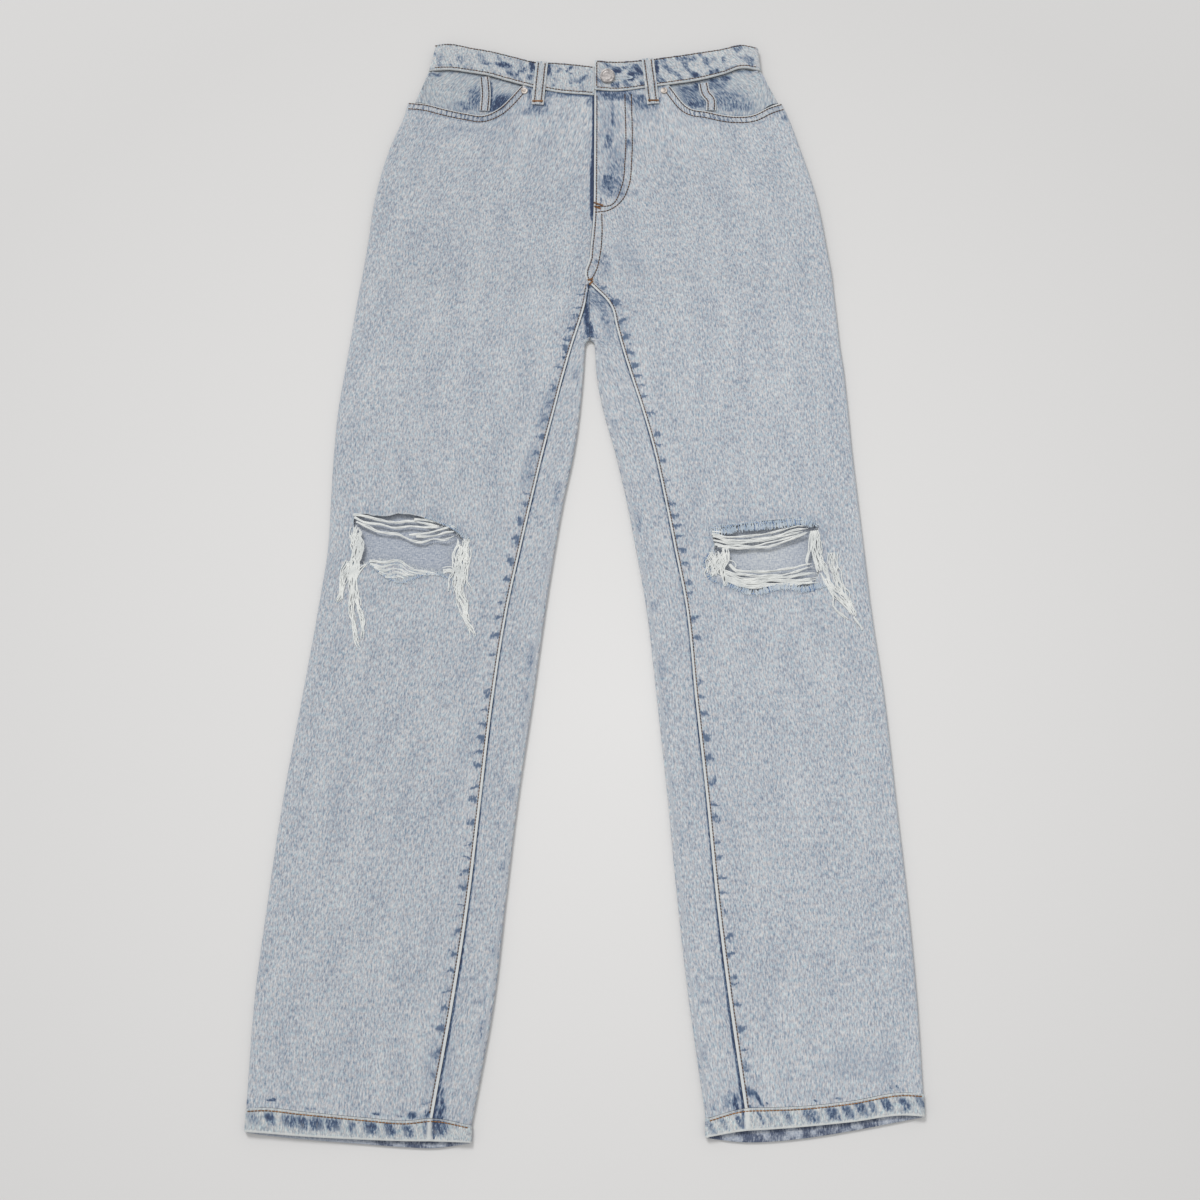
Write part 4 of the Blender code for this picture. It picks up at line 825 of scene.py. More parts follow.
def denim(name, dash=0.42, tint=(188, 192, 199)):
    """Washed warp-faced denim: slubs along the grain, roping, worn white, unfaded indigo, and
    painted light and shade.
    """
    g = Graph(name, 0.93, specular=0.18)
    g.shader.inputs["Sheen Weight"].default_value = 0.1
    g.shader.inputs["Sheen Roughness"].default_value = 0.5
    grain = g.node("UVMap", uv_map="grain").outputs[0]
    seam = g.node("SeparateXYZ", {0: g.node("UVMap", uv_map="seam").outputs[0]}).outputs
    wash_and_painted_light_node = g.node("Attribute", attribute_name="wash")
    wash = g.node("SeparateColor", {0: wash_and_painted_light_node.outputs["Color"]}).outputs
    inside = wash_and_painted_light_node.outputs["Alpha"]

    across, along, _ = g.node("SeparateXYZ", {0: grain}).outputs
    fine = g.noise(grain, 1.15, 2.9, 2, 0.6)
    slub = g.noise(grain, 1.5, 6.6, 2, 0.6)
    cloud = g.noise(grain, 20, 70, 3, 0.55)
    tone = g.add((fine, 0.43), (slub, 0.43), (cloud, 0.14))
    low = (tint[0] - 50, tint[1] - 44, tint[2] - 34)
    high = (tint[0] + 31, tint[1] + 28, tint[2] + 22)
    colour = g.ramp(tone, [(0.382, rgb(*low)), (0.5, rgb(*tint)), (0.618, rgb(*high))])
    cast = g.ramp(g.noise(grain, 2, 4.2, 2, 0.6),
                  [(0.34, (0.84, 0.965, 0.99, 1)), (0.5, (0.965, 0.975, 0.98, 1)),
                   (0.66, (1, 0.945, 0.905, 1))])
    colour = g.mix(1, colour, cast, "MULTIPLY")
    fleck = g.step(g.noise(grain, 1.8, 6.5, 1, 0.5, 3.7), 0.63, 0.77, 0, 0.56)
    colour = g.mix(fleck, colour, rgb(112, 129, 152))

    weave = g.noise(grain, 1, 2.4, 2, 0.6)
    weft = g.noise(grain, 3.6, 1.2, 2, 0.6)
    inner = g.ramp(g.add((weave, 0.5), (weft, 0.5)),
                   [(0.38, rgb(146, 156, 174)), (0.5, rgb(176, 183, 194)),
                    (0.62, rgb(202, 206, 212))])
    colour = g.mix(inside, colour, inner)

    # unfaded indigo and painted shade, both from the blue channel: soft streaky smudges, deeper
    # where the table says more
    edge = g.math("SUBTRACT", g.noise(grain, 1.7, 4.6, 3, 0.66), 0.5)
    broken = g.math("MULTIPLY", wash[2], g.add((edge, 2.9), (fine, 0.6)))
    deep = g.add((wash[2], 0.84), (broken, 1),
                 (g.math("MULTIPLY", edge, g.step(wash[2], 0.02, 0.3)), 0.75))
    wander = g.noise(grain, 9, 9, 1)
    turn = g.math("FRACT", g.add((seam[1], 1), (wander, 0.9)))
    turn = g.math("MULTIPLY", g.math("ABSOLUTE", g.math("SUBTRACT", turn, 0.5)), 2)
    turn = g.add((turn, 1), (edge, 1.5), (wash[0], -dash))
    rope = g.math("MULTIPLY", g.step(turn, 0.26, -0.3), g.step(wash[0], 0.02, 0.5))
    deep = g.math("MAXIMUM", deep, g.math("MULTIPLY", rope, 0.64))
    dye = g.ramp(g.add((deep, 0.82), (fine, 0.3)),
                 [(0.25, rgb(143, 156, 173)), (0.5, rgb(108, 126, 151)), (0.74, rgb(74, 95, 124)),
                  (0.98, rgb(41, 57, 90))])
    # the inner face takes a darker dye, which carries the painted shade inside the hems
    dye = g.mix(inside, dye, g.ramp(weave, [(0.36, rgb(60, 69, 92)), (0.64, rgb(98, 109, 132))]))
    colour = g.mix(g.math("MULTIPLY", g.step(deep, 0.03, 0.72), 0.95), colour, dye)

    # worn white, and painted light where the back shows through the right knee's tear
    worn = g.step(g.add((wash[1], 1), (edge, 0.9)), 0.2, 0.85)
    worn = g.math("MULTIPLY", worn, g.step(wash[1], 0.03, 0.25))
    colour = g.mix(g.math("MULTIPLY", worn, 0.86), colour, rgb(218, 220, 218))
    # painted shade: the cloth darker towards the left of the picture and towards the waist, as
    # the light falls off
    place = g.node("SeparateXYZ", {0: g.place()}).outputs
    shade = g.math("MULTIPLY", g.step(place[0], -0.25, 0.25, 0.905, 0.977),
                   g.step(place[1], 0.16, 0.4, 1, 0.958))
    colour = g.mix(1, colour, shade, "MULTIPLY")

    twill = g.math("SINE", g.add((across, 7.4), (along, -4.2)))
    height = g.add((fine, 0.7), (slub, 0.3), (twill, 0.08))
    return g.finish(colour, height, 0.0003, 0.55)


def thread(name, dark, light, scale=1):
    """Sewing thread or loose yarn: plied, unevenly faded."""
    g = Graph(name, 0.82, specular=0.25)
    place = g.place()
    ply = g.noise(place, 0.0011 / scale, 0.0011 / scale, 2, 0.6, 0.0011 / scale)
    patch = g.noise(place, 0.011, 0.011, 2, 0.5, 0.011)
    tone = g.add((ply, 0.45), (patch, 0.55))
    return g.finish(g.ramp(tone, [(0.38, rgb(*dark)), (0.62, rgb(*light))]), ply, 0.00015, 0.6)


def worn_metal(name, dark, light):
    g = Graph(name, 0.5, metallic=0.45)
    place = g.place()
    scuff = g.noise(place, 0.0014, 0.0007, 4, 0.65, 0.0014)
    tarnish = g.noise(place, 0.0038, 0.0038, 3, 0.6, 0.0038)
    g.put(g.shader.inputs["Roughness"], g.step(scuff, 0.3, 0.7, 0.38, 0.66))
    return g.finish(g.ramp(tarnish, [(0.35, rgb(*dark)), (0.62, rgb(*light))]), scuff,
                    0.0001, 0.4)


def paper_floor():
    """Pale paper with painted light: brightest in the middle, dimmer towards the edges."""
    g = Graph("pale_floor", 0.95, specular=0.1)
    x, y, _ = g.node("SeparateXYZ", {0: g.place()}).outputs
    x = g.math("SUBTRACT", x, 0.05)
    y = g.math("ADD", y, 0.15)
    out = g.math("SQRT", g.math("ADD", g.math("MULTIPLY", x, x), g.math("MULTIPLY", y, y)))
    return g.finish(g.ramp(out, [(0, rgb(*FLOOR_LIT_MIDDLE)), (0.8, rgb(*FLOOR_DIM_EDGE))]))


DENIM = denim("washed_denim")
DENIM_HEM = denim("hem_denim", dash=0.5, tint=(194, 198, 201))
DENIM_BAND = denim("waistband_denim", dash=0.5, tint=(194, 197, 201))
DENIM_DARK = denim("pocket_denim", tint=(184, 189, 195))
BROWN = thread("brown_thread", (60, 42, 32), (108, 78, 56))
RUST = thread("rust_thread", (112, 78, 48), (160, 116, 74))
TAN = thread("tan_thread", (104, 72, 46), (156, 112, 74))
WEFT = thread("white_weft", (211, 214, 213), (235, 236, 233))
BLUE_YARN = thread("blue_warp", (92, 124, 168), (140, 164, 196))
PALE_YARN = thread("pale_warp", (176, 190, 203), (212, 217, 220))
BUTTON_METAL = worn_metal("button_metal", (146, 142, 142), (202, 196, 193))
RIVET_METAL = worn_metal("rivet_metal", (132, 120, 112), (214, 206, 198))

# ---------------------------------------------------------------- camera, light, floor

scene = bpy.context.scene
scene.view_settings.view_transform = "Standard"
camera_data = bpy.data.cameras.new("camera")
camera_data.lens, camera_data.sensor_width = CAMERA_LENS, 36
camera_data.clip_start, camera_data.clip_end = 0.05, 50
camera = placed("camera", camera_data, (np.array(CAMERA_AT) + MIDDLE) * MM)
camera.rotation_euler = (np.radians(CAMERA_TILT), 0, 0)
scene.camera = camera

world = bpy.data.worlds.new("studio")
world.use_nodes = True
world.node_tree.nodes["Background"].inputs[0].default_value = (1, 1, 1, 1)
world.node_tree.nodes["Background"].inputs[1].default_value = SKY
scene.world = world

lamp_data = bpy.data.lights.new("softbox", "AREA")
lamp_data.shape, lamp_data.size, lamp_data.energy = "SQUARE", LAMP_SIZE, LAMP_WATTS
lamp = placed("softbox", lamp_data, LAMP_AT)
aim = -np.array(lamp.location)
lamp.rotation_euler = (np.arctan2(np.hypot(aim[0], aim[1]), -aim[2]), 0,
                       np.arctan2(aim[0], -aim[1]) + np.pi)

floor_mesh = bpy.data.meshes.new("floor")
corners = [(-1, -1), (1, -1), (1, 1), (-1, 1)]
floor_mesh.from_pydata([(x * FLOOR_REACH, y * FLOOR_REACH, 0) for x, y in corners], [],
                       [(0, 1, 2, 3)])
floor_mesh.materials.append(paper_floor())
floor = placed("floor", floor_mesh, (0, 0, -FLOOR_DROP))

# ---------------------------------------------------------------- stitches and strands


def tube_faces(rings, sides):
    """Faces of a closed tube of rings of points, its ends closed by one face each."""
    faces = [(r * sides + k, r * sides + (k + 1) % sides, (r + 1) * sides + (k + 1) % sides,
              (r + 1) * sides + k) for r in range(rings - 1) for k in range(sides)]
    faces.append(tuple(range(sides))[::-1])
    faces.append(tuple((rings - 1) * sides + k for k in range(sides)))
    return faces


class Threads:
    """Many short tubes in one mesh."""

    def __init__(self):
        self.points, self.faces, self.count = [], [], 0

    def tube(self, path, radii, sides=5):
        path = np.asarray(path, float)
        run = np.gradient(path, axis=0)
        run /= np.maximum(np.linalg.norm(run, axis=1, keepdims=True), 1e-9)
        level = np.cross(run, (0, 0, 1))
        level /= np.maximum(np.linalg.norm(level, axis=1, keepdims=True), 1e-9)
        upright = np.cross(level, run)
        angles = 2 * np.pi * np.arange(sides) / sides
        radii = np.broadcast_to(np.asarray(radii, float), (len(path),))[:, None, None]
        rings = path[:, None] + radii * (level[:, None] * np.cos(angles)[None, :, None]
                                         + upright[:, None] * np.sin(angles)[None, :, None])
        self.points.append(rings.reshape(-1, 3))
        self.faces += [tuple(v + self.count for v in face)
                       for face in tube_faces(len(path), sides)]
        self.count += len(path) * sides

    def stitches(self, path, height, pitch=3, share=0.86, radius=0.52):
        """A row of stitches along a path in plan, lying on a surface."""
        path = np.asarray(path, float)
        run = run_of(path)
        number = max(1, int(round(run[-1] / pitch)))
        for k in range(number):
            middle = (k + 0.5) * run[-1] / number
            half = share * run[-1] / number / 2
            at = middle + half * np.array([-1, -0.55, 0.55, 1])
            x, y = np.interp(at, run, path[:, 0]), np.interp(at, run, path[:, 1])
            z = height(x, y) + np.array([-0.2, 0.15, 0.15, -0.2])
            self.tube(np.stack([x, y, z], axis=1), radius * np.array([0.6, 1, 1, 0.6]), 6)

    def bar(self, start, end, height, reach=1.6, number=10, radius=0.42):
        """A bar tack: close threads laid across the line from start to end."""
        start, end = np.asarray(start, float), np.asarray(end, float)
        across = np.array([start[1] - end[1], end[0] - start[0]]) / np.linalg.norm(end - start)
        for k in range(number):
            middle = start + (end - start) * k / (number - 1)
            path = np.array([middle - across * reach, middle + across * reach])
            z = float(np.max(height(path[:, 0], path[:, 1]))) + 0.25
            self.tube(np.column_stack([path, [z, z]]), radius)

    def add(self, name, made_material, slot="threads", nodes=()):
        return add_mesh(name, np.vstack(self.points), self.faces, made_material,
                        nodes=nodes)


def offset_path(path, by):
    """A path moved sideways in plan, to its left as it runs."""
    path = np.asarray(path, float)[:, :2]
    return path - normals_of(path, 1) * np.asarray(by, float).reshape(-1, 1)


# ---------------------------------------------------------------- fronts

# Distances of a front's last columns from its fly and inseam
NEAR_SEAM = np.array([36, 33, 30, 28, 26, 24, 22, 20, 18, 16, 14, 12, 10, 8.5, 7, 5.8, 4.8, 4,
                      3.2, 2.4, 1.6, 0.8, 0])


def front_top_y(x, side):
    """Top edge of a front: the pocket's mouth, then the waistband seam."""
    outside = LEGS[side].sign * (x - CORNER_X[side]) > 0
    return np.where(outside, pocket_y(x, side), waist(x, "seam_y", side) - SEAM_GAP)


def front_grid(leg):
    """A front: under the side fold, round it, and across the top to fly and inseam."""
    side, sign = leg.name, leg.sign
    centre = fold_centre(leg.side, leg.side_normal)
    lip = centre - leg.side_normal * (SEAM_LIP - FOLD_RADIUS - CLOTH / 2)
    parts = []
    for t in (0, 0.5):
        place = lip + (centre - lip) * t
        parts.append(np.column_stack([place, back_z(*place.T)])[:, None])
    parts.append(arc_points(centre, leg.side_normal, back_z(*centre.T),
                            front_z(*centre.T))[:, :-1])
    hidden = sum(part.shape[1] for part in parts)

    inner = leg.seam + np.array([sign * SEAM_GAP / 2, 0])
    width = np.linalg.norm(inner - centre, axis=1)
    even = np.linspace(0, 1, 46)[:-1]
    across = np.hstack([even[None] * (1 - 39 / width[:, None]),
                        1 - NEAR_SEAM[None] / width[:, None]])
    start, end = fold_centre(leg.side[0], leg.side_normal[0]), leg.seam[0]
    drop = leg.side[0, 1] - leg.side[:, 1]
    fade = ((1 - np.clip(drop / MOUTH_BLEND, 0, 1)) ** 2)[:, None]
    place = centre[:, None] + (inner - centre)[:, None] * across[..., None]
    top = start + (end - start) * across[..., None]
    x, y = place[..., 0], place[..., 1].copy()
    mouth = front_top_y(top[..., 0], side)
    y += (mouth - top[..., 1]) * fade * smoothstep(across, -0.02, 0.06)
    moved = (hem_y(x[-1], "seam_y", side) - y[-1]) * smoothstep(across[-1], 0, 0.05)
    y += moved * (1 - np.clip((y - y[-1]) / 50, 0, 1)) ** 1.5
    parts.append(np.stack([x, y, top_z(leg, x, y)], axis=-1))
    places = np.concatenate(parts, axis=1)

    full = lambda values, fill: np.concatenate(
        [np.full((len(leg.rows), hidden), fill), values], axis=1)
    grain_u = np.concatenate([np.broadcast_to(np.linspace(-18, -2, hidden),
                                              (len(leg.rows), hidden)),
                              across * width[:, None]], axis=1)
    edge = np.column_stack([x[0], mouth[0]])
    slope = np.gradient(mouth[0], x[0])
    from_top = full((mouth[0] - y) / np.hypot(1, slope), NO_SEAM)
    along_top = full(np.broadcast_to(run_of(edge), y.shape), 0)
    px, py = places[..., 0], places[..., 1]
    away, run = leg.from_seam(px, py)
    wide = ridge_width(py)
    below = py < JUNCTION_Y
    left = side == "left"

    # the felled inseam and fly: white ridge, then roping away from its stitches
    count = counts(run, 16 if left else 17, 0.5, 31 if left else 32)
    rope = smoothstep(away, wide + 0.2, wide + 1.2) * falls(away, wide + 3.5, wide + 12.5)
    rope = np.where(below, rope * (0.74 + 0.4 * noise(run, 0 * run, 34, 33)), 0)
    shown = smoothstep(JUNCTION_Y - py, 10, 24) if left else 1
    worn = np.where(below, 0.95 * shown * falls(away, wide - 1.2, wide - 0.5),
                    0.85 * falls(away, 0.8, 1.7) * (not left))
    indigo_and_shade = dye_and_shade_at(px, py)
    if left:
        # painted shade: a dark line along the fly's edge on the left front, where the right front
        # laps over it, with a soft blue darkening beside it
        broad = 1.2 + 1.9 * bell(py, 384, 34)
        line = 1.1 * falls(away, broad, broad + 1.8) * smoothstep(py, 342, 354)
        line = np.maximum(line, 0.55 * falls(away, 0.3, 1.1) * smoothstep(py, 300, 318))
        glow = 0.4 * bell(py, 392, 44) * falls(away, 1, 9)
        indigo_and_shade = np.maximum(indigo_and_shade, np.maximum(line, glow))

    # the pocket's mouth: white edge, a ladder between its two rows of stitches
    on_pocket = sign * (px - CORNER_X[side]) > -2
    strong = bell(sign * px, 113 if left else 126, 27)
    at_mouth = on_pocket & (from_top < 11.5)
    ladder = bell(from_top, 4.5, 3.2) * (0.62 + strong)
    rope = np.where(at_mouth, ladder, rope)
    white = np.maximum(0.95 * falls(from_top, 0.5, 1.4), 0.45 * bell(from_top, 4.4, 2))
    worn = np.where(at_mouth, white, worn)
    count = np.where(at_mouth, counts(along_top + 40, 4.6, 0.3, 41), count)
    indigo_and_shade = np.where(at_mouth, np.maximum(indigo_and_shade, 0.34 * bell(from_top, 8.8, 1)), indigo_and_shade)
    under_band = 0.9 * falls(from_top, 1, 2.6) * (0.75 + 0.25 * noise(px, 0 * px, 9, 43))
    indigo_and_shade = np.where(on_pocket, indigo_and_shade, np.maximum(indigo_and_shade, under_band))
    values = pack(-sign * grain_u, leg.rows[:, None], away, count, rope, worn, indigo_and_shade)
    return places, values


def ragged(table, seed):
    """Outline of a torn hole with a frayed wander, as a dense closed path."""
    upper = resample([(x, y) for x, y, _ in table], 1.6)
    lower = resample([(x, y) for x, _, y in table[::-1]], 1.6)
    first = resample([lower[-1], upper[0]], 1.6)[1:-1]
    last = resample([upper[-1], lower[0]], 1.6)[1:-1]
    path = np.vstack([upper, last, lower, first])
    path[:, 1] += 0.7 * noise(path[:, 0], path[:, 1], 3.4, seed)
    path[:, 0] += 0.7 * noise(path[:, 0], path[:, 1], 3.1, seed + 1)
    return path


def inside(outline, x, y):
    """Whether points lie inside a closed outline."""
    odd = np.zeros(x.shape, bool)
    for (ax, ay), (bx, by) in zip(outline, np.roll(outline, -1, axis=0)):
        crosses = (ay > y) != (by > y)
        with np.errstate(divide="ignore", invalid="ignore"):
            odd ^= crosses & (x < (bx - ax) * (y - ay) / (by - ay) + ax)
    return odd


def nearest_on(outline, points):
    """Nearest point of a closed outline to each point, and its distance."""
    a, b = outline, np.roll(outline, -1, axis=0)
    run = b - a
    t = ((points[:, None] - a[None]) * run[None]).sum(-1) / np.maximum((run**2).sum(-1), 1e-9)
    foot = a[None] + np.clip(t, 0, 1)[..., None] * run[None]
    gap_to = np.linalg.norm(points[:, None] - foot, axis=-1)
    best = gap_to.argmin(axis=1)
    pick = np.arange(len(points))
    return foot[pick, best], gap_to[pick, best]


def tear(sheet, outline):
    """Cut a hole in a surface: faces go, and the border moves on to the outline."""
    points, values, quads = sheet.arrays()
    low, high = outline.min(0) - 12, outline.max(0) + 12
    close = np.flatnonzero(((points[:, :2] > low) & (points[:, :2] < high)).all(axis=1))
    foot, away = nearest_on(outline, points[close, :2])
    middle = points[quads].mean(axis=1)
    gone = inside(outline, middle[:, 0], middle[:, 1]) & (middle[:, 2] > 2.5)
    border = np.intersect1d(quads[gone], quads[~gone])
    at = np.isin(close, border)
    points[close[at], :2] = foot[at]
    values[close, 5] = np.maximum(values[close, 5], 0.5 * np.exp(-(away / 1.8) ** 2))
    values[close, 6] = np.maximum(values[close, 6], 0.22 * np.exp(-((away - 4) / 4) ** 2))
    kept = quads[~gone]
    used = np.unique(kept)
    renumber = np.full(len(points), -1)
    renumber[used] = np.arange(len(used))
    return points[used], values[used], renumber[kept]


TORN = {}
for side, leg in LEGS.items():
    surface = Sheet().grid(*front_grid(leg))
    TORN[side] = ragged(HOLES[side], 51 if side == "left" else 61)
    sew("front_" + side, surface, CLOTH, DENIM, "front_panel_" + side,
        torn=tear(surface, TORN[side]))

# ---------------------------------------------------------------- backs


def back_centre(leg, y, on_top=False):
    """A leg's own side of the middle, underneath or on top beside the junction."""
    x = centre_x(y)
    if on_top:
        x = CENTRE_X + (JUNCTION_X - CENTRE_X) * (y - CROTCH_Y) / (JUNCTION_Y - CROTCH_Y)
    return np.array([x + leg.sign * SEAM_GAP / 2, y])


def lip_end(leg, r):
    """Where the back starts, beside the lip of the front that is folded under."""
    return leg.side[r] - leg.side_normal[r] * (SEAM_LIP + SEAM_GAP)


def back_sheet(leg):
    """Underside, inner fold, and the strip that shows inside the inseam."""
    first, crotch = leg.yoke_row, leg.crotch_row
    reach = FOLD_RADIUS + CLOTH / 2
    shares = np.linspace(0, 1, 30)
    bottom, arcs, strip = [], [], []
    for r in range(first, len(leg.rows)):
        start = lip_end(leg, r)
        if r < crotch:
            run = (leg.seam[r, 1] - CROTCH_Y) / (leg.seam[first, 1] - CROTCH_Y)
            y = CROTCH_Y + reach + run * (YOKE_CENTRE_Y - CROTCH_Y)
            y = min(y, YOKE_CENTRE_Y) if r > first else YOKE_CENTRE_Y
            end = back_centre(leg, max(y, CROTCH_Y + reach))
        else:
            normal = leg.fold_normal[r - crotch]
            end = fold_centre(leg.fold[r - crotch], normal)
            if r == crotch:
                end[0] = back_centre(leg, end[1])[0]
            arcs.append(arc_points(end[None], normal[None], back_z(*end), front_z(*end))[0])
        if r == first:
            start[1] -= SEAM_GAP
        row = across_row(start, end, shares)
        bottom.append(np.column_stack([row, back_z(*row.T)]))
        if r >= crotch:
            bottom[-1][-1] = arcs[-1][0]
    bottom, arcs = np.array(bottom), np.array(arcs)
    knee = smoothstep(edge_distance(bottom[..., 0], bottom[..., 1]), 6, 30)
    knee = knee * falls(abs(bottom[..., 1] + 5), 40, 90)
    bottom[..., 2] += knee * 0.35 * np.maximum(noise(bottom[..., 0], bottom[..., 1], 15, 71),
                                               0)
    levels = leg.rows[first:]
    width = np.linalg.norm(bottom[:, -1, :2] - bottom[:, 0, :2], axis=1)
    seat = 0.5 * falls(abs(bottom[..., 0] - centre_x(bottom[..., 1])), 2, 8)
    seat = seat * (bottom[..., 1] > CROTCH_Y)
    count = counts(levels + 600, 15, 0.4, 72)[:, None]
    sheet = Sheet().grid(bottom, pack(BACK_GRAIN + shares[None] * width[:, None],
                                      levels[:, None], NO_SEAM, count, seat, 0.5 * seat))
    arc_u = BACK_GRAIN + width[crotch - first:, None] + np.linspace(0, 6, arcs.shape[1])[None]
    sheet.grid(arcs, pack(arc_u, leg.rows[crotch:, None], NO_SEAM, 0))

    top = int(np.argmax(leg.seam[:, 1] < JUNCTION_Y - 1))
    near = np.array([7, 5.6, 4.4, 3.4, 2.5, 1.7, 0.9, 0])
    moved = 0
    for r in range(len(leg.rows) - 1, top - 1, -1):
        inner = leg.seam[r] - (leg.sign * SEAM_GAP / 2, 0)
        edge = back_centre(leg, leg.seam[r, 1], on_top=True) if r < crotch else (
            arcs[r - crotch][-1][:2])
        wide = max(np.linalg.norm(inner - edge), 0.1)
        cut = min(8.5, 0.7 * wide)
        shares = np.concatenate([np.linspace(0, 1 - cut / wide, 13)[:-1],
                                 1 - near * cut / 8.5 / wide])
        row = across_row(np.asarray(edge, float), inner, shares)
        if r == len(leg.rows) - 1:
            moved = (hem_y(row[:, 0], "seam_y", leg.name) - row[:, 1]) * smoothstep(
                shares, 0, 0.2)
        row[:, 1] += moved * max(0, 1 - (leg.rows[-1] - leg.rows[r]) / 50) ** 1.5
        fade = smoothstep(np.linalg.norm(row - edge, axis=1), 0, 6) if r >= crotch else 1
        z = front_z(*row.T) * (1 - fade) + top_z(leg, *row.T) * fade
        strip.insert(0, np.column_stack([row, z]))
        if r >= crotch:
            strip[0][0] = arcs[r - crotch][-1]
    strip = np.array(strip)
    x, y = strip[..., 0], strip[..., 1]
    away, run = leg.from_seam(x, y)
    low = smoothstep(-y, 150, 520)
    crevice = (0.72 + 0.25 * low) * falls(-away, 0.7 + 0.7 * low, 2.2 + 1.2 * low)
    crevice = crevice * (0.8 + 0.3 * noise(run, 0 * run, 26, 75))
    streaks = 0.33 * bell(edge_distance(x, y), 7, 5) * smoothstep(
        noise(x, y, 13, 76), 0, 0.6)
    # the strip's patches include the painted shade of the crotch valley
    indigo_and_shade = np.maximum(np.maximum(crevice, dye_and_shade_at(x, y)), streaks)
    return sheet.grid(strip, pack(STRIP_GRAIN + away, leg.rows[top:, None], away, 0,
                                  indigo_and_shade=indigo_and_shade))


def painted_light_under_tear(under, x, y):
    """Painted light: the back's inner face is painted paler, in its worn-white channel, where the
    right knee's tear shows it.
    """
    under[:, 5] = np.maximum(under[:, 5], 0.48 * bell(x, 168, 56) * bell(y, 0, 42))


for side, leg in LEGS.items():
    sew("back_" + side, back_sheet(leg), CLOTH, DENIM, "back_panel_" + side, up=False,
        paint_inner_face=painted_light_under_tear if side == "right" else None)

# ---------------------------------------------------------------- waistband

BAND_LOW, BAND_HIGH = HIP_LIFT + BAND / 2, HIP_LIFT + 1.5 * BAND + BAND_GAP


def band_side(side):
    """The waistband's side fold, at its seam."""
    _, x, _, seam_y = LEFT_WAIST[0] if side == "left" else RIGHT_WAIST[-1]
    return np.array([x + BAND_OVERHANG[side], seam_y])


def hidden_back(x):
    """How far the back band's edges lie inside the front's."""
    inner = np.minimum(x - band_side("left")[0], band_side("right")[0] - x)
    return HIDE_BACK * smoothstep(inner, 4, 30)


def band_y(x, t, side, drawn_in=0):
    """Places up the band from its seam (t = 0) to its top edge (t = 1)."""
    seam = waist(x, "seam_y", side) + drawn_in
    return seam + (waist(x, "top_y", side) - drawn_in - seam) * t


def band_top(x, t):
    """The waistband's face: puckered edges, stitched dips and soft dents."""
    count = counts(np.asarray(x, float) + 400, 9, 0.4, 81)
    pucker = 0.25 * np.sin(2 * np.pi * (count + 0.5 * t)) * bell(np.minimum(t, 1 - t), 0.12, 0.12)
    dips = -0.35 * (bell(t, 0.085, 0.035) + bell(t, 0.945, 0.03))
    lap = 0.5 * bell(x, 12, 3.6) - 0.5 * bell(x, 4.6, 3)
    return BAND_HIGH + pucker + dips + lap + 0.2 * noise(x, 30 * t, 14, 82)


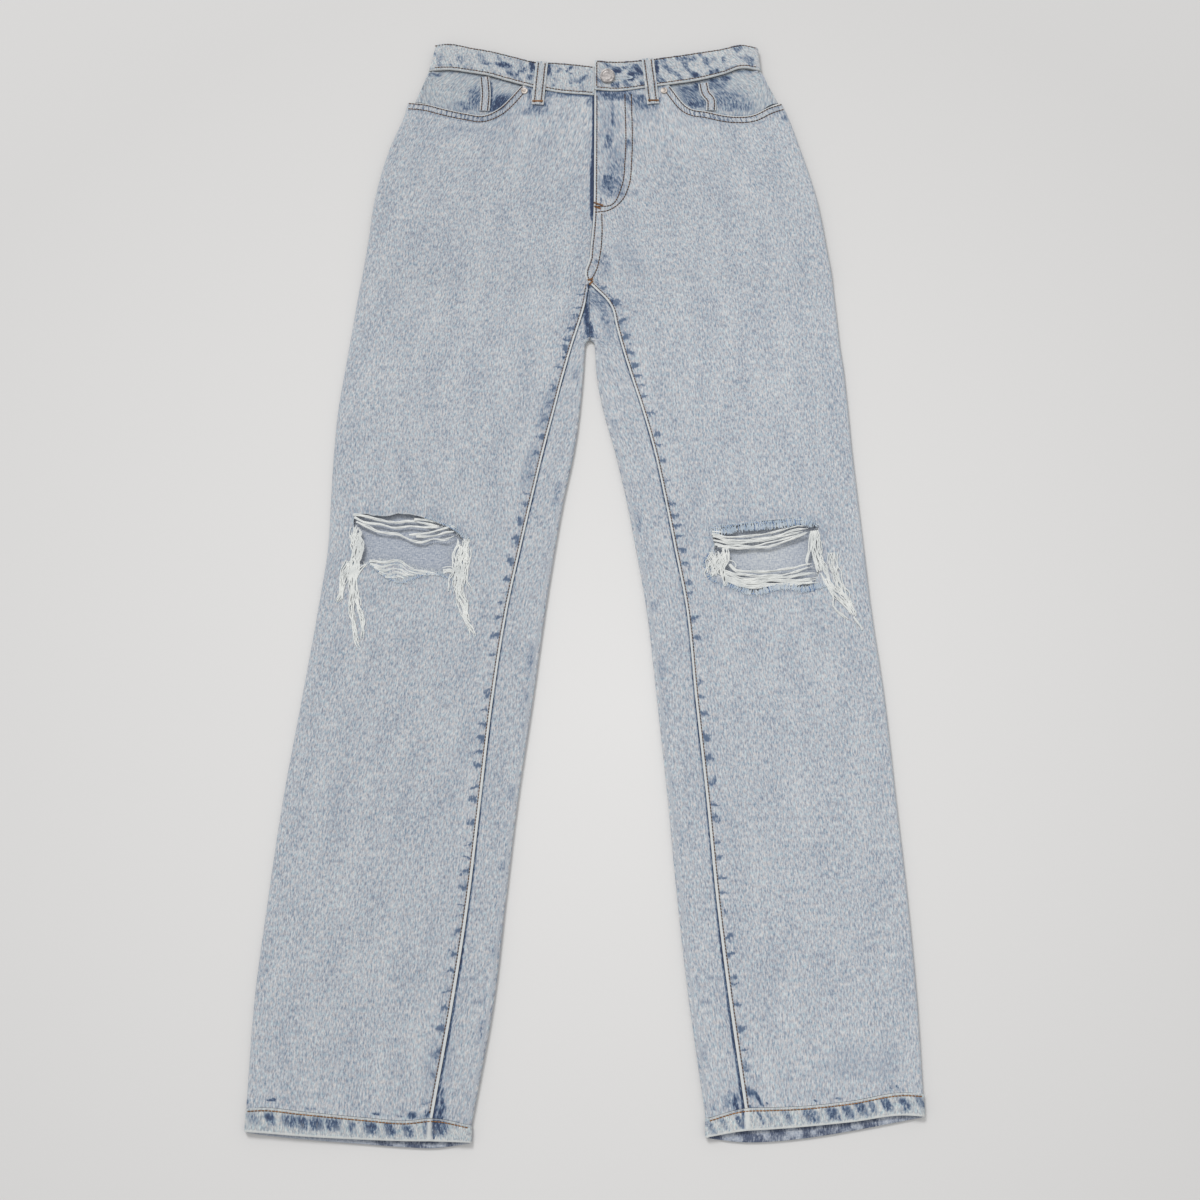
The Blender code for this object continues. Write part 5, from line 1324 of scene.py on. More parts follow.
def make_band():
    """The waistband, one open strip round the waist, in rows from seam to top edge."""
    shares = np.array([0, 0.025, 0.055, 0.09, 0.13, 0.18, 0.24, 0.32, 0.4, 0.48, 0.56, 0.64,
                       0.72, 0.79, 0.85, 0.9, 0.94, 0.97, 1])
    reach = BAND / 2 + FOLD_RADIUS
    middle, half = (BAND_LOW + BAND_HIGH) / 2, (BAND_HIGH - BAND_LOW) / 2
    angles = np.linspace(-np.pi / 2, np.pi / 2, 8)[1:-1]
    rows, values = [], []
    for t in shares:
        left = band_side("left")[0] + BAND_LEAN["left"] * t + reach
        right = band_side("right")[0] + BAND_LEAN["right"] * t - reach
        a = np.linspace(LAP_X - SEAM_GAP / 2, left, 96)
        b = np.linspace(left, right, 70)
        c = np.linspace(right, LAP_X + SEAM_GAP / 2, 96)
        parts = []
        for x, side in ((a, "left"), (b, "back"), (c, "right")):
            if side == "back":
                place = [x, band_y(x, t, side, hidden_back(x)), np.full(len(x), BAND_LOW)]
            else:
                fold = left if side == "left" else right
                own = smoothstep(abs(x - fold), 0, 12)
                place = [x, band_y(x, t, side), BAND_HIGH + (band_top(x, t) - BAND_HIGH) * own]
            parts.append(np.column_stack(place))
        for at, fold, side, out in ((1, left, "left", -1), (3, right, "right", 1)):
            parts.insert(at, np.column_stack([fold + out * FOLD_RADIUS * np.cos(angles),
                                              np.full(6, float(band_y(fold, t, side))),
                                              middle + half * np.sin(out * angles)]))
        row = np.vstack(parts)
        rows.append(row)
        x, y = row[:, 0], row[:, 1]
        on_top = row[:, 2] > BAND_HIGH - 1.6
        seam_side = smoothstep(-t * BAND_WIDTH, -3, -1.2)
        rim = 0.85 * falls(t * BAND_WIDTH, 0.3, 1.1)
        lap = 0.7 * bell(x, 8.4, 1.4) * smoothstep(t, 0.02, 0.1)
        rope = 0.5 * bell(t, 0.16, 0.07) + 0.42 * bell(t, 0.86, 0.07)
        rope = rope * smoothstep(noise(x, 40 * t, 24, 83), -0.4, 0.4)
        # on top, unfaded indigo and the painted shadow beside the front belt loops
        ink = np.where(on_top, dye_and_shade_at(x, y), 0.3 * bell(t, 0.5, 0.3))
        wavy = np.sin(x / 3.3 + 2 * noise(x, y, 13, 84) + 0.22 * y) + 0.8 * noise(x, y, 6, 85)
        ink = np.maximum(ink, np.where(x > 8, 0.5, 0.36) * smoothstep(wavy, 0.1, 1.3))
        ink = ink * (1 - seam_side * (t < 0.5))
        values.append(pack(run_of(row[:, :2]), BAND_GRAIN * t, BAND_GRAIN * min(t, 1 - t),
                           counts(x + 400, 8, 0.4, 81) + 0.5 * t, rope,
                           np.maximum(rim, lap * on_top), ink))
    surface = Sheet().grid(rows, values)
    walls = np.repeat(np.where(np.minimum(shares, 1 - shares) < 0.02, 0.62, 1), len(rows[0]))
    sew("waistband_strip", surface, BAND * walls[:len(surface.points)], DENIM_BAND, "waistband",
        turn=True)


make_band()


def band_share(x, y):
    """How far up the front band a point lies, 0 to 1."""
    seam = front_waist(x, "seam_y")
    return (y - seam) / (front_waist(x, "top_y") - seam)


# ---------------------------------------------------------------- yokes, facings, pockets


def facing_edge(side, t):
    """Outer fold and its normal from the waistband (t = 0) to the front (t = 1)."""
    leg = LEGS[side]
    run = (leg.side[0] - leg.side[1]) / np.linalg.norm(leg.side[0] - leg.side[1])
    top = band_side(side) - (0, SEAM_GAP)
    low = leg.side[0] + run * MOUTH_GAP - (leg.sign * FACING_INSET[side], 0)
    straight = top - low
    turned = np.array([straight[1], -straight[0]]) * leg.sign
    normal = turned / np.linalg.norm(turned)
    normal = normal + (leg.side_normal[0] - normal) * smoothstep(t, 0.3, 1)
    return top + (low - top) * t, normal / np.linalg.norm(normal)


def facing_z(x, y, across):
    """Middle surface of a facing, a step below the fronts away from the side fold."""
    return front_z(x, y) - FACING_DROP * smoothstep(across, 0, 0.14)


def make_facing(side):
    """The denim under a scooped mouth, from the waistband to just below the mouth."""
    rows, values = [], []
    for t in np.linspace(0, 1, 26):
        point, normal = facing_edge(side, t)
        centre = fold_centre(point, normal)
        lip = centre - normal * (SEAM_LIP - FOLD_RADIUS - CLOTH / 2)
        row = [np.array([*p, float(back_z(*p))]) for p in (lip, (lip + centre) / 2)]
        row += list(arc_points(centre[None], normal[None], back_z(*centre),
                               front_z(*centre))[0][:-1])
        u = np.linspace(0, 1, 52)
        x = centre[0] + (CORNER_X[side] - centre[0]) * u
        own = falls(u, 0, 0.16)
        high = waist(x, "seam_y", side) - SEAM_GAP
        high = high + (centre[1] - high) * own * (t == 0)
        low = pocket_y(x, side) - FACING_REACH * smoothstep(u, 0.14, 0.3)
        low = low + (centre[1] - low) * own
        y = high + (low - high) * t
        y[0] = centre[1]
        z = facing_z(x, y, u) + 0.15 * smoothstep(u, 0.05, 0.2) * noise(x, y, 12, 91)
        row = np.vstack([np.array(row), np.column_stack([x, y, z])])
        rows.append(row)
        # painted shadow: the facing darker just under the pocket's mouth and along the waistband,
        # added to the unfaded indigo and painted shade of the patches
        shade = np.concatenate([np.zeros(9), smoothstep(u, 0.03, 0.12)])
        from_mouth = row[:, 1] - pocket_y(row[:, 0], side)
        shade = shade * (0.3 * falls(from_mouth, 0, 8) + 0.28 * bell(t, 0, 0.1))
        ink = np.where(row[:, 2] > 4, dye_and_shade_at(row[:, 0], row[:, 1]), 0)
        values.append(pack(run_of(row[:, :2]), 45 * t, NO_SEAM, 0,
                           indigo_and_shade=np.maximum(shade, ink)))
    sew("facing_" + side, Sheet().grid(rows, values), FACING, DENIM_DARK,
        "pocket_facing_" + side)


def make_yoke(side):
    """A back yoke, underneath, from the waistband to the back."""
    leg = LEGS[side]
    low_edge = lip_end(leg, leg.yoke_row) + (0, SEAM_GAP)
    outer = [low_edge, lip_end(leg, 0)]
    for t in np.linspace(1, 0, 7):
        point, normal = facing_edge(side, t)
        outer.append(point - normal * (SEAM_LIP + SEAM_GAP))
    outer = np.array(outer)
    levels = np.linspace(outer[0, 1], outer[-1, 1], 16)
    outer = np.column_stack([np.interp(levels, outer[:, 1], outer[:, 0]), levels])
    inner_x = back_centre(leg, YOKE_CENTRE_Y)[0]
    u = np.linspace(0, 1, 40)
    stations = outer[-1, 0] + (inner_x - outer[-1, 0]) * u
    high = waist(stations, "seam_y", "back") + hidden_back(stations) - SEAM_GAP
    high = high + (outer[-1, 1] - high) * falls(u, 0, 0.06)
    rows, values = [], []
    for start in outer:
        t = (start[1] - low_edge[1]) / (outer[-1, 1] - low_edge[1])
        x = stations + (start[0] - stations[0]) * (1 - u)
        low = low_edge[1] + (YOKE_CENTRE_Y + SEAM_GAP - low_edge[1]) * u
        y = low + (high - low) * t
        rows.append(np.column_stack([x, y, back_z(x, y)]))
        values.append(pack(stations, y, y - low, counts(x + 500, 12, 0.4, 92),
                           0.6 * bell(y - low, 4, 4), 0.3 * bell(y - low, 0, 2)))
    sew("yoke_" + side + "_cloth", Sheet().grid(rows, values), CLOTH, DENIM, "yoke_" + side,
        up=False)


def ribbon(path, half, height, across):
    """Rows of a band along a path in plan, and each column's share from -1 to 1."""
    path = np.asarray(path, float)
    share = 1 - 2 * np.arange(across + 1) / across
    place = path[:, None, :2] + normals_of(path[:, :2], 1)[:, None] * (half * share)[:, None]
    z = height(place[..., 0], place[..., 1])
    return np.concatenate([place, z[..., None]], axis=-1), share


def band_top_z(x, y):
    """Outer face of whatever lies on top: the waistband, or a front below it."""
    on_band = BAND_HIGH + BAND / 2
    on_front = front_z(x, y) + CLOTH / 2
    share = smoothstep(y - front_waist(x, "seam_y"), -7, -0.5)
    return on_front + (on_band - on_front) * share


def strip_piece(name, path, width, height, made_material, node, up=True):
    """A stitched strip: crowned between its two rows of stitches, its edges worn."""
    path = resample(path, 1.6)
    places, share = ribbon(path, width / 2, height, 14)
    run = run_of(path)
    if up:
        wave = 0.12 * np.sin(2 * np.pi * counts(run, 5, 0.4, 95))[:, None]
        places[..., 2] += wave * bell(abs(share), 1, 0.3) + 0.25 * (
            bell(share, 0, 0.4) - 0.9 * bell(abs(share), 0.62, 0.12))[None]
    worn = 0.9 * bell(abs(share), 1, 0.14) + 0.4 * bell(share, 0, 0.3)
    x, y = places[..., 0], places[..., 1]
    ink = 0.3 * smoothstep(noise(x, y, 7, 97), 0.1, 0.6) * bell(abs(share), 0.75, 0.2)
    values = pack(width / 2 * share[None], run[:, None], 9,
                  counts(run, 6, 0.4, 96)[:, None] + 0.3 * share[None],
                  0.3 * bell(abs(share), 0.8, 0.25)[None], worn[None], ink)
    walls = np.tile(STRIP * np.where(abs(share) > 0.95, 0.7, 1), len(path))
    sew(name, Sheet().grid(places, values), walls, made_material, node, up)


def make_hem(side):
    """A turned-up hem, one ring round the leg's end."""
    leg = LEGS[side]
    outer_n, fold_n = leg.side_normal[-1], leg.fold_normal[-1]
    outer, fold = fold_centre(leg.side[-1], outer_n), fold_centre(leg.fold[-1], fold_n)
    seam = leg.seam[-1]
    low = HEM / 2
    high = low + HEM + HEM_GAP
    top_x = np.concatenate([np.linspace(outer[0], seam[0], 116),
                            np.linspace(seam[0], fold[0], 26)[1:]])
    top = np.column_stack([top_x, hem_y(top_x, "seam_y", side), np.full(len(top_x), high)])
    bottom = across_row(fold, outer, np.linspace(0, 1, 90))
    bottom = np.column_stack([bottom, np.full(len(bottom), low)])
    inner = arc_points(fold[None], fold_n[None], low, high)[0][::-1][1:-1]
    side_arc = arc_points(outer[None], outer_n[None], low, high)[0][1:-1]
    ring = [(top, "front_y"), (inner, "back_y"), (bottom, "back_y"), (side_arc, "front_y")]
    base = np.vstack([part for part, _ in ring]) - (0, SEAM_GAP, 0)
    edge = np.concatenate([hem_y(part[:, 0], column, side) for part, column in ring])
    x = base[:, 0]
    on_front = base[:, 2] > (low + high) / 2
    left = side == "left"
    toward = leg.sign * (x - seam[0])
    shares = np.array([0, 0.04, 0.09, 0.14, 0.19, 0.25, 0.32, 0.4, 0.48, 0.56, 0.64, 0.72,
                       0.8, 0.87, 0.93, 0.97, 1])
    lean = -0.25 if left else 0.45
    rows, values = [], []
    for t in shares:
        y = base[:, 1] + (edge - base[:, 1]) * t
        count = counts(x + 400 + lean * 20 * t, 14.5, 0.25, 101 if left else 102)
        wave = np.sin(2 * np.pi * count)
        z = base[:, 2].copy()
        rise = (0.45 * wave * bell(t, 0.6, 0.32) - 0.35 * bell(t, 0.13, 0.05)
                + 0.5 * bell(toward, 2, 2.2) - 0.5 * bell(toward, -1.6, 1.4))
        z[on_front] += rise[on_front]
        rows.append(np.column_stack([x, y, z]))
        worn = 0.95 * smoothstep(t, 0.88, 0.96) + 0.5 * falls(t, 0.02, 0.12)
        worn = worn + 0.35 * (wave < -0.2) * bell(t, 0.6, 0.3)
        worn = np.maximum(worn, 0.9 * bell(toward, 2.6, 2.2)) * on_front
        ink = np.where(on_front, dye_and_shade_at(x, y), 0.4)
        ink = np.maximum(ink, 0.85 * bell(toward, -1.4, 1.3) * on_front)
        ink = ink * falls(t, 0.9, 0.97)
        values.append(pack(run_of(base[:, :2]), 20 * t, 20 * t, count, 0, worn, ink))
    surface = Sheet().grid(rows, values, closed=True)
    walls = np.repeat(np.where(shares > 0.98, 0.55, np.where(shares > 0.95, 0.85, 1)),
                      len(rows[0]))

    def painted_shade_inside(inner, x, y):
        # painted shade on the hem's inner face, seen through its open lower edge, less towards
        # the leg's outer side
        pale = falls(x, -199, -160) if left else 0.7 * smoothstep(x, 235, 270)
        inner[:, 6] = (0.45 + 0.42 * noise(x / 1.3, y / 1.3, 4.5, 104)) * (1 - 0.8 * pale)
        inner[:, 5] = 0

    sew("hem_" + side + "_ring", surface, HEM * walls, DENIM_HEM, "hem_" + side, turn=left,
        paint_inner_face=painted_shade_inside)


def make_back_pocket(name, middle_x):
    """A patch pocket, underneath."""
    heights = np.array([row[0] for row in BACK_POCKET_ROWS])
    halves = np.array([row[1] for row in BACK_POCKET_ROWS])
    y = np.concatenate([np.linspace(heights[k], heights[k + 1], n)[:-1] for k, n in
                        enumerate((14, 12, 6))] + [heights[-1:]])
    half = np.interp(-y, -heights, halves)
    u = np.linspace(-1, 1, 29)
    x = middle_x + half[:, None] * u[None]
    places = np.stack([x, np.broadcast_to(y[:, None], x.shape),
                       np.full(x.shape, STRIP / 2)], axis=-1)
    from_edge = np.minimum(half[:, None] * (1 - abs(u))[None], (heights[0] - y)[:, None])
    values = pack(x, -y[:, None], from_edge, counts(x + y[:, None] + 800, 9, 0.4, 111),
                  0.6 * bell(from_edge, 4, 3), 0.6 * bell(from_edge, 0, 1.6), 0)
    sew(name.replace("back_pocket", "seat_pocket"), Sheet().grid(places, values), STRIP, DENIM,
        name, up=False)


for side in LEGS:
    make_facing(side)
    make_yoke(side)
    make_hem(side)
for name, x in BACK_POCKETS.items():
    make_back_pocket(name, x)


def back_loop_top(x):
    """Top end of a hidden belt loop."""
    return float(waist(x, "top_y", "back")) - HIDE_BACK - SEAM_GAP


def strip_face(side):
    """Height of a facing's outer face, as a function of the place."""
    outer_x, corner = LEGS[side].side[0, 0], CORNER_X[side]
    return lambda x, y: facing_z(x, y, (x - outer_x) / (corner - outer_x)) + FACING / 2


for name, ends in FRONT_LOOPS.items():
    strip_piece(name[len("belt_"):], ends, LOOP_WIDTH,
                lambda x, y: band_top_z(x, y) + SEAM_GAP + STRIP / 2, DENIM_BAND, name)
for name, x in BACK_LOOPS.items():
    ends = [(x, back_loop_top(x)), (x, back_loop_top(x) - BACK_LOOP_LENGTH)]
    strip_piece(name[len("belt_"):], ends, LOOP_WIDTH, level(STRIP / 2), DENIM_BAND, name,
                up=False)
for side, path in FACING_STRIPS.items():
    on_facing = strip_face(side)
    strip_piece("pocket_strip_" + side, path, FACING_STRIP_WIDTH,
                lambda x, y: on_facing(x, y) + SEAM_GAP + STRIP / 2, DENIM,
                "facing_strip_" + side)

# ---------------------------------------------------------------- stitching


def on_front(leg, above=THREAD_LIFT):
    """Height just over the cloth that lies on top of a leg, as a function of the place."""
    return lambda x, y: top_z(leg, x, y) + CLOTH / 2 + above


def on_band(x, y):
    """Height of the stitches on the front band."""
    return band_top(x, band_share(x, y)) + BAND / 2 + THREAD_LIFT


def on_strip(face):
    """Height just over a strip that lies on the surface face."""
    return lambda x, y: face(x, y) + SEAM_GAP + STRIP + STRIP_THREAD_LIFT


# The fly's stitches: the outer and inner rows of its J, and the row under it
FLY_STITCHES = [
    [(45.3, 489), (45.2, 413), (42.4, 385.1), (35.4, 368.5), (21.6, 357.4), (8.4, 355.2)],
    [(38.8, 489), (38.6, 413), (35.5, 385.1), (24.5, 363.3), (8.4, 361.8)],
    [(15.4, 354), (15.6, 330), (13.2, 306), (10.4, 294), (4.6, 281)],
]
FLY_TACKS = [((7.9, 365.6), (16.4, 363)), ((8.4, 361.6), (14, 359.6)),
             ((1.8, 281.6), (6.4, 283.4)), ((3.6, 277.4), (6.4, 281))]
for side, leg in LEGS.items():
    height = on_front(leg)
    threads = Threads()
    shown = leg.seam[(leg.seam[:, 1] < JUNCTION_Y - 1) & (leg.seam[:, 1] > -518)]
    threads.stitches(offset_path(shown, ridge_width(shown[:, 1]) * leg.sign), height)
    outer_x = leg.side[0, 0] - leg.sign
    x = np.linspace(outer_x, CORNER_X[side] + leg.sign * 0.6, 90)
    mouth = np.column_stack([x, pocket_y(x, side)])
    down = normals_of(mouth, 1)
    down *= np.where(down[:, 1:] > 0, -1, 1)
    for by in MOUTH_STITCHES:
        threads.stitches(mouth + down * by, height, TOP_PITCH)
    if side == "right":
        for path in FLY_STITCHES:
            threads.stitches(resample(path, 2), height, TOP_PITCH)
        fly = leg.seam[(leg.seam[:, 1] > JUNCTION_Y + 2) & (leg.seam[:, 1] < 489)]
        threads.stitches(offset_path(fly, 2.6), height, TOP_PITCH)
    threads.add("stitching_front_" + side, BROWN)

tacks = Threads()
for start, end in FLY_TACKS:
    tacks.bar(start, end, on_front(LEGS["right"]), TACK_REACH)
tacks.add("bar_tacks_fly", TAN)

band_threads = Threads()
for start, end, side in ((-154, 6.4, "left"), (BAND_END_X, 172, "right")):
    x = np.linspace(start, end, 80)
    for column, by in (("seam_y", BAND_STITCH), ("top_y", -BAND_TOP_STITCH)):
        band_threads.stitches(np.column_stack([x, waist(x, column, side) + by]), on_band)
band_threads.stitches([(BAND_END_X, float(band_y(BAND_END_X, t, "right")))
                       for t in (0.1, 0.93)], on_band)
band_threads.add("stitching_waistband", BROWN)

hole_threads = Threads()
middle_x, middle_y = BUTTONHOLE_AT
for k in range(50):
    u = 2 * np.pi * k / 50
    z = float(band_top(middle_x, 0.5)) + BAND / 2 + 0.25
    inner = (middle_x + BUTTONHOLE_REACH * np.cos(u), middle_y + 0.7 * np.sin(u), z)
    outer = (middle_x + (BUTTONHOLE_REACH + 2) * np.cos(u), middle_y + 2.6 * np.sin(u),
             z - 0.1)
    hole_threads.tube([inner, outer], 0.36)
hole_threads.add("buttonhole_threads", PALE_YARN)

loop_threads, loop_tacks = Threads(), Threads()
for name, ends in FRONT_LOOPS.items():
    path = resample(ends, 1.6)
    height = on_strip(band_top_z)
    for by in (-LOOP_STITCH, LOOP_STITCH):
        loop_threads.stitches(offset_path(path[1:-1], by), height)
    low = path[-1] + (0, LOOP_STITCH)
    loop_tacks.bar(low - (5, 0), low + (5, 0), height, TACK_REACH, 15)
loop_threads.add("stitching_front_loops", BROWN)
loop_tacks.add("bar_tacks_front_loops", TAN)

for side, path in FACING_STRIPS.items():
    threads = Threads()
    for by in (-FACING_STRIP_STITCH, FACING_STRIP_STITCH):
        threads.stitches(offset_path(resample(path, 1.6), by), on_strip(strip_face(side)))
    threads.add("stitching_pocket_strip_" + side, BROWN)

for side, leg in LEGS.items():
    threads = Threads()
    x = np.linspace(leg.side[-1, 0] - leg.sign * 1.5, leg.fold[-1, 0] + leg.sign * 3, 100)
    threads.stitches(np.column_stack([x, hem_y(x, "seam_y", side) - HEM_STITCH]),
                     level(2 * HEM + HEM_GAP - 0.15))
    threads.add("stitching_hem_" + side, RUST)

under = Threads()
flat = level(UNDER_LIFT)
for name, middle_x in BACK_POCKETS.items():
    ys = [row[0] for row in BACK_POCKET_ROWS]
    for inset in POCKET_STITCHES:
        half = [row[1] - inset for row in BACK_POCKET_ROWS]
        right = [(middle_x + half[0], ys[0] - 1), (middle_x + half[1], ys[1]),
                 (middle_x + half[2], ys[2] + inset * 0.3), (middle_x, ys[3] + inset)]
        left = [(2 * middle_x - x, y) for x, y in right[::-1]][1:]
        under.stitches(right + left, flat, radius=UNDER_RADIUS)
    reach = BACK_POCKET_ROWS[0][1] - 3
    for inset in POCKET_HEM_STITCHES:
        under.stitches([(middle_x - reach, ys[0] - inset), (middle_x + reach, ys[0] - inset)],
                       flat, radius=UNDER_RADIUS)
for name, x in BACK_LOOPS.items():
    top_y = back_loop_top(x)
    for by in (-BACK_LOOP_STITCH, BACK_LOOP_STITCH):
        under.stitches([(x + by, top_y - 1), (x + by, top_y - BACK_LOOP_LENGTH + 1)], flat,
                       radius=UNDER_RADIUS)
under.add("stitching_underside", BROWN)

seat = Threads()
under_seat = lambda x, y: lift(y) + UNDER_LIFT
for side, leg in LEGS.items():
    ends = np.array([lip_end(leg, leg.yoke_row), back_centre(leg, YOKE_CENTRE_Y)])
    for by in YOKE_STITCHES:
        seat.stitches(ends + (0, by), under_seat, radius=UNDER_RADIUS)
y = np.linspace(CROTCH_Y + 8, 488, 60)
for by in SEAT_STITCHES:
    seat.stitches(np.column_stack([centre_x(y) + by, y]), under_seat, radius=UNDER_RADIUS)
seat.add("stitching_seat", BROWN)

# ---------------------------------------------------------------- loose weft and fringes

# The right tear's upper edge, which a bundle and the warp's ends follow
RIGHT_UPPER_EDGE = [(119.3, 20.3), (130.6, 20.3), (141.9, 22.8), (153.3, 24.4), (169.4, 25.9),
                    (185.4, 27.4), (202.5, 29.9), (213.8, 27.9)]

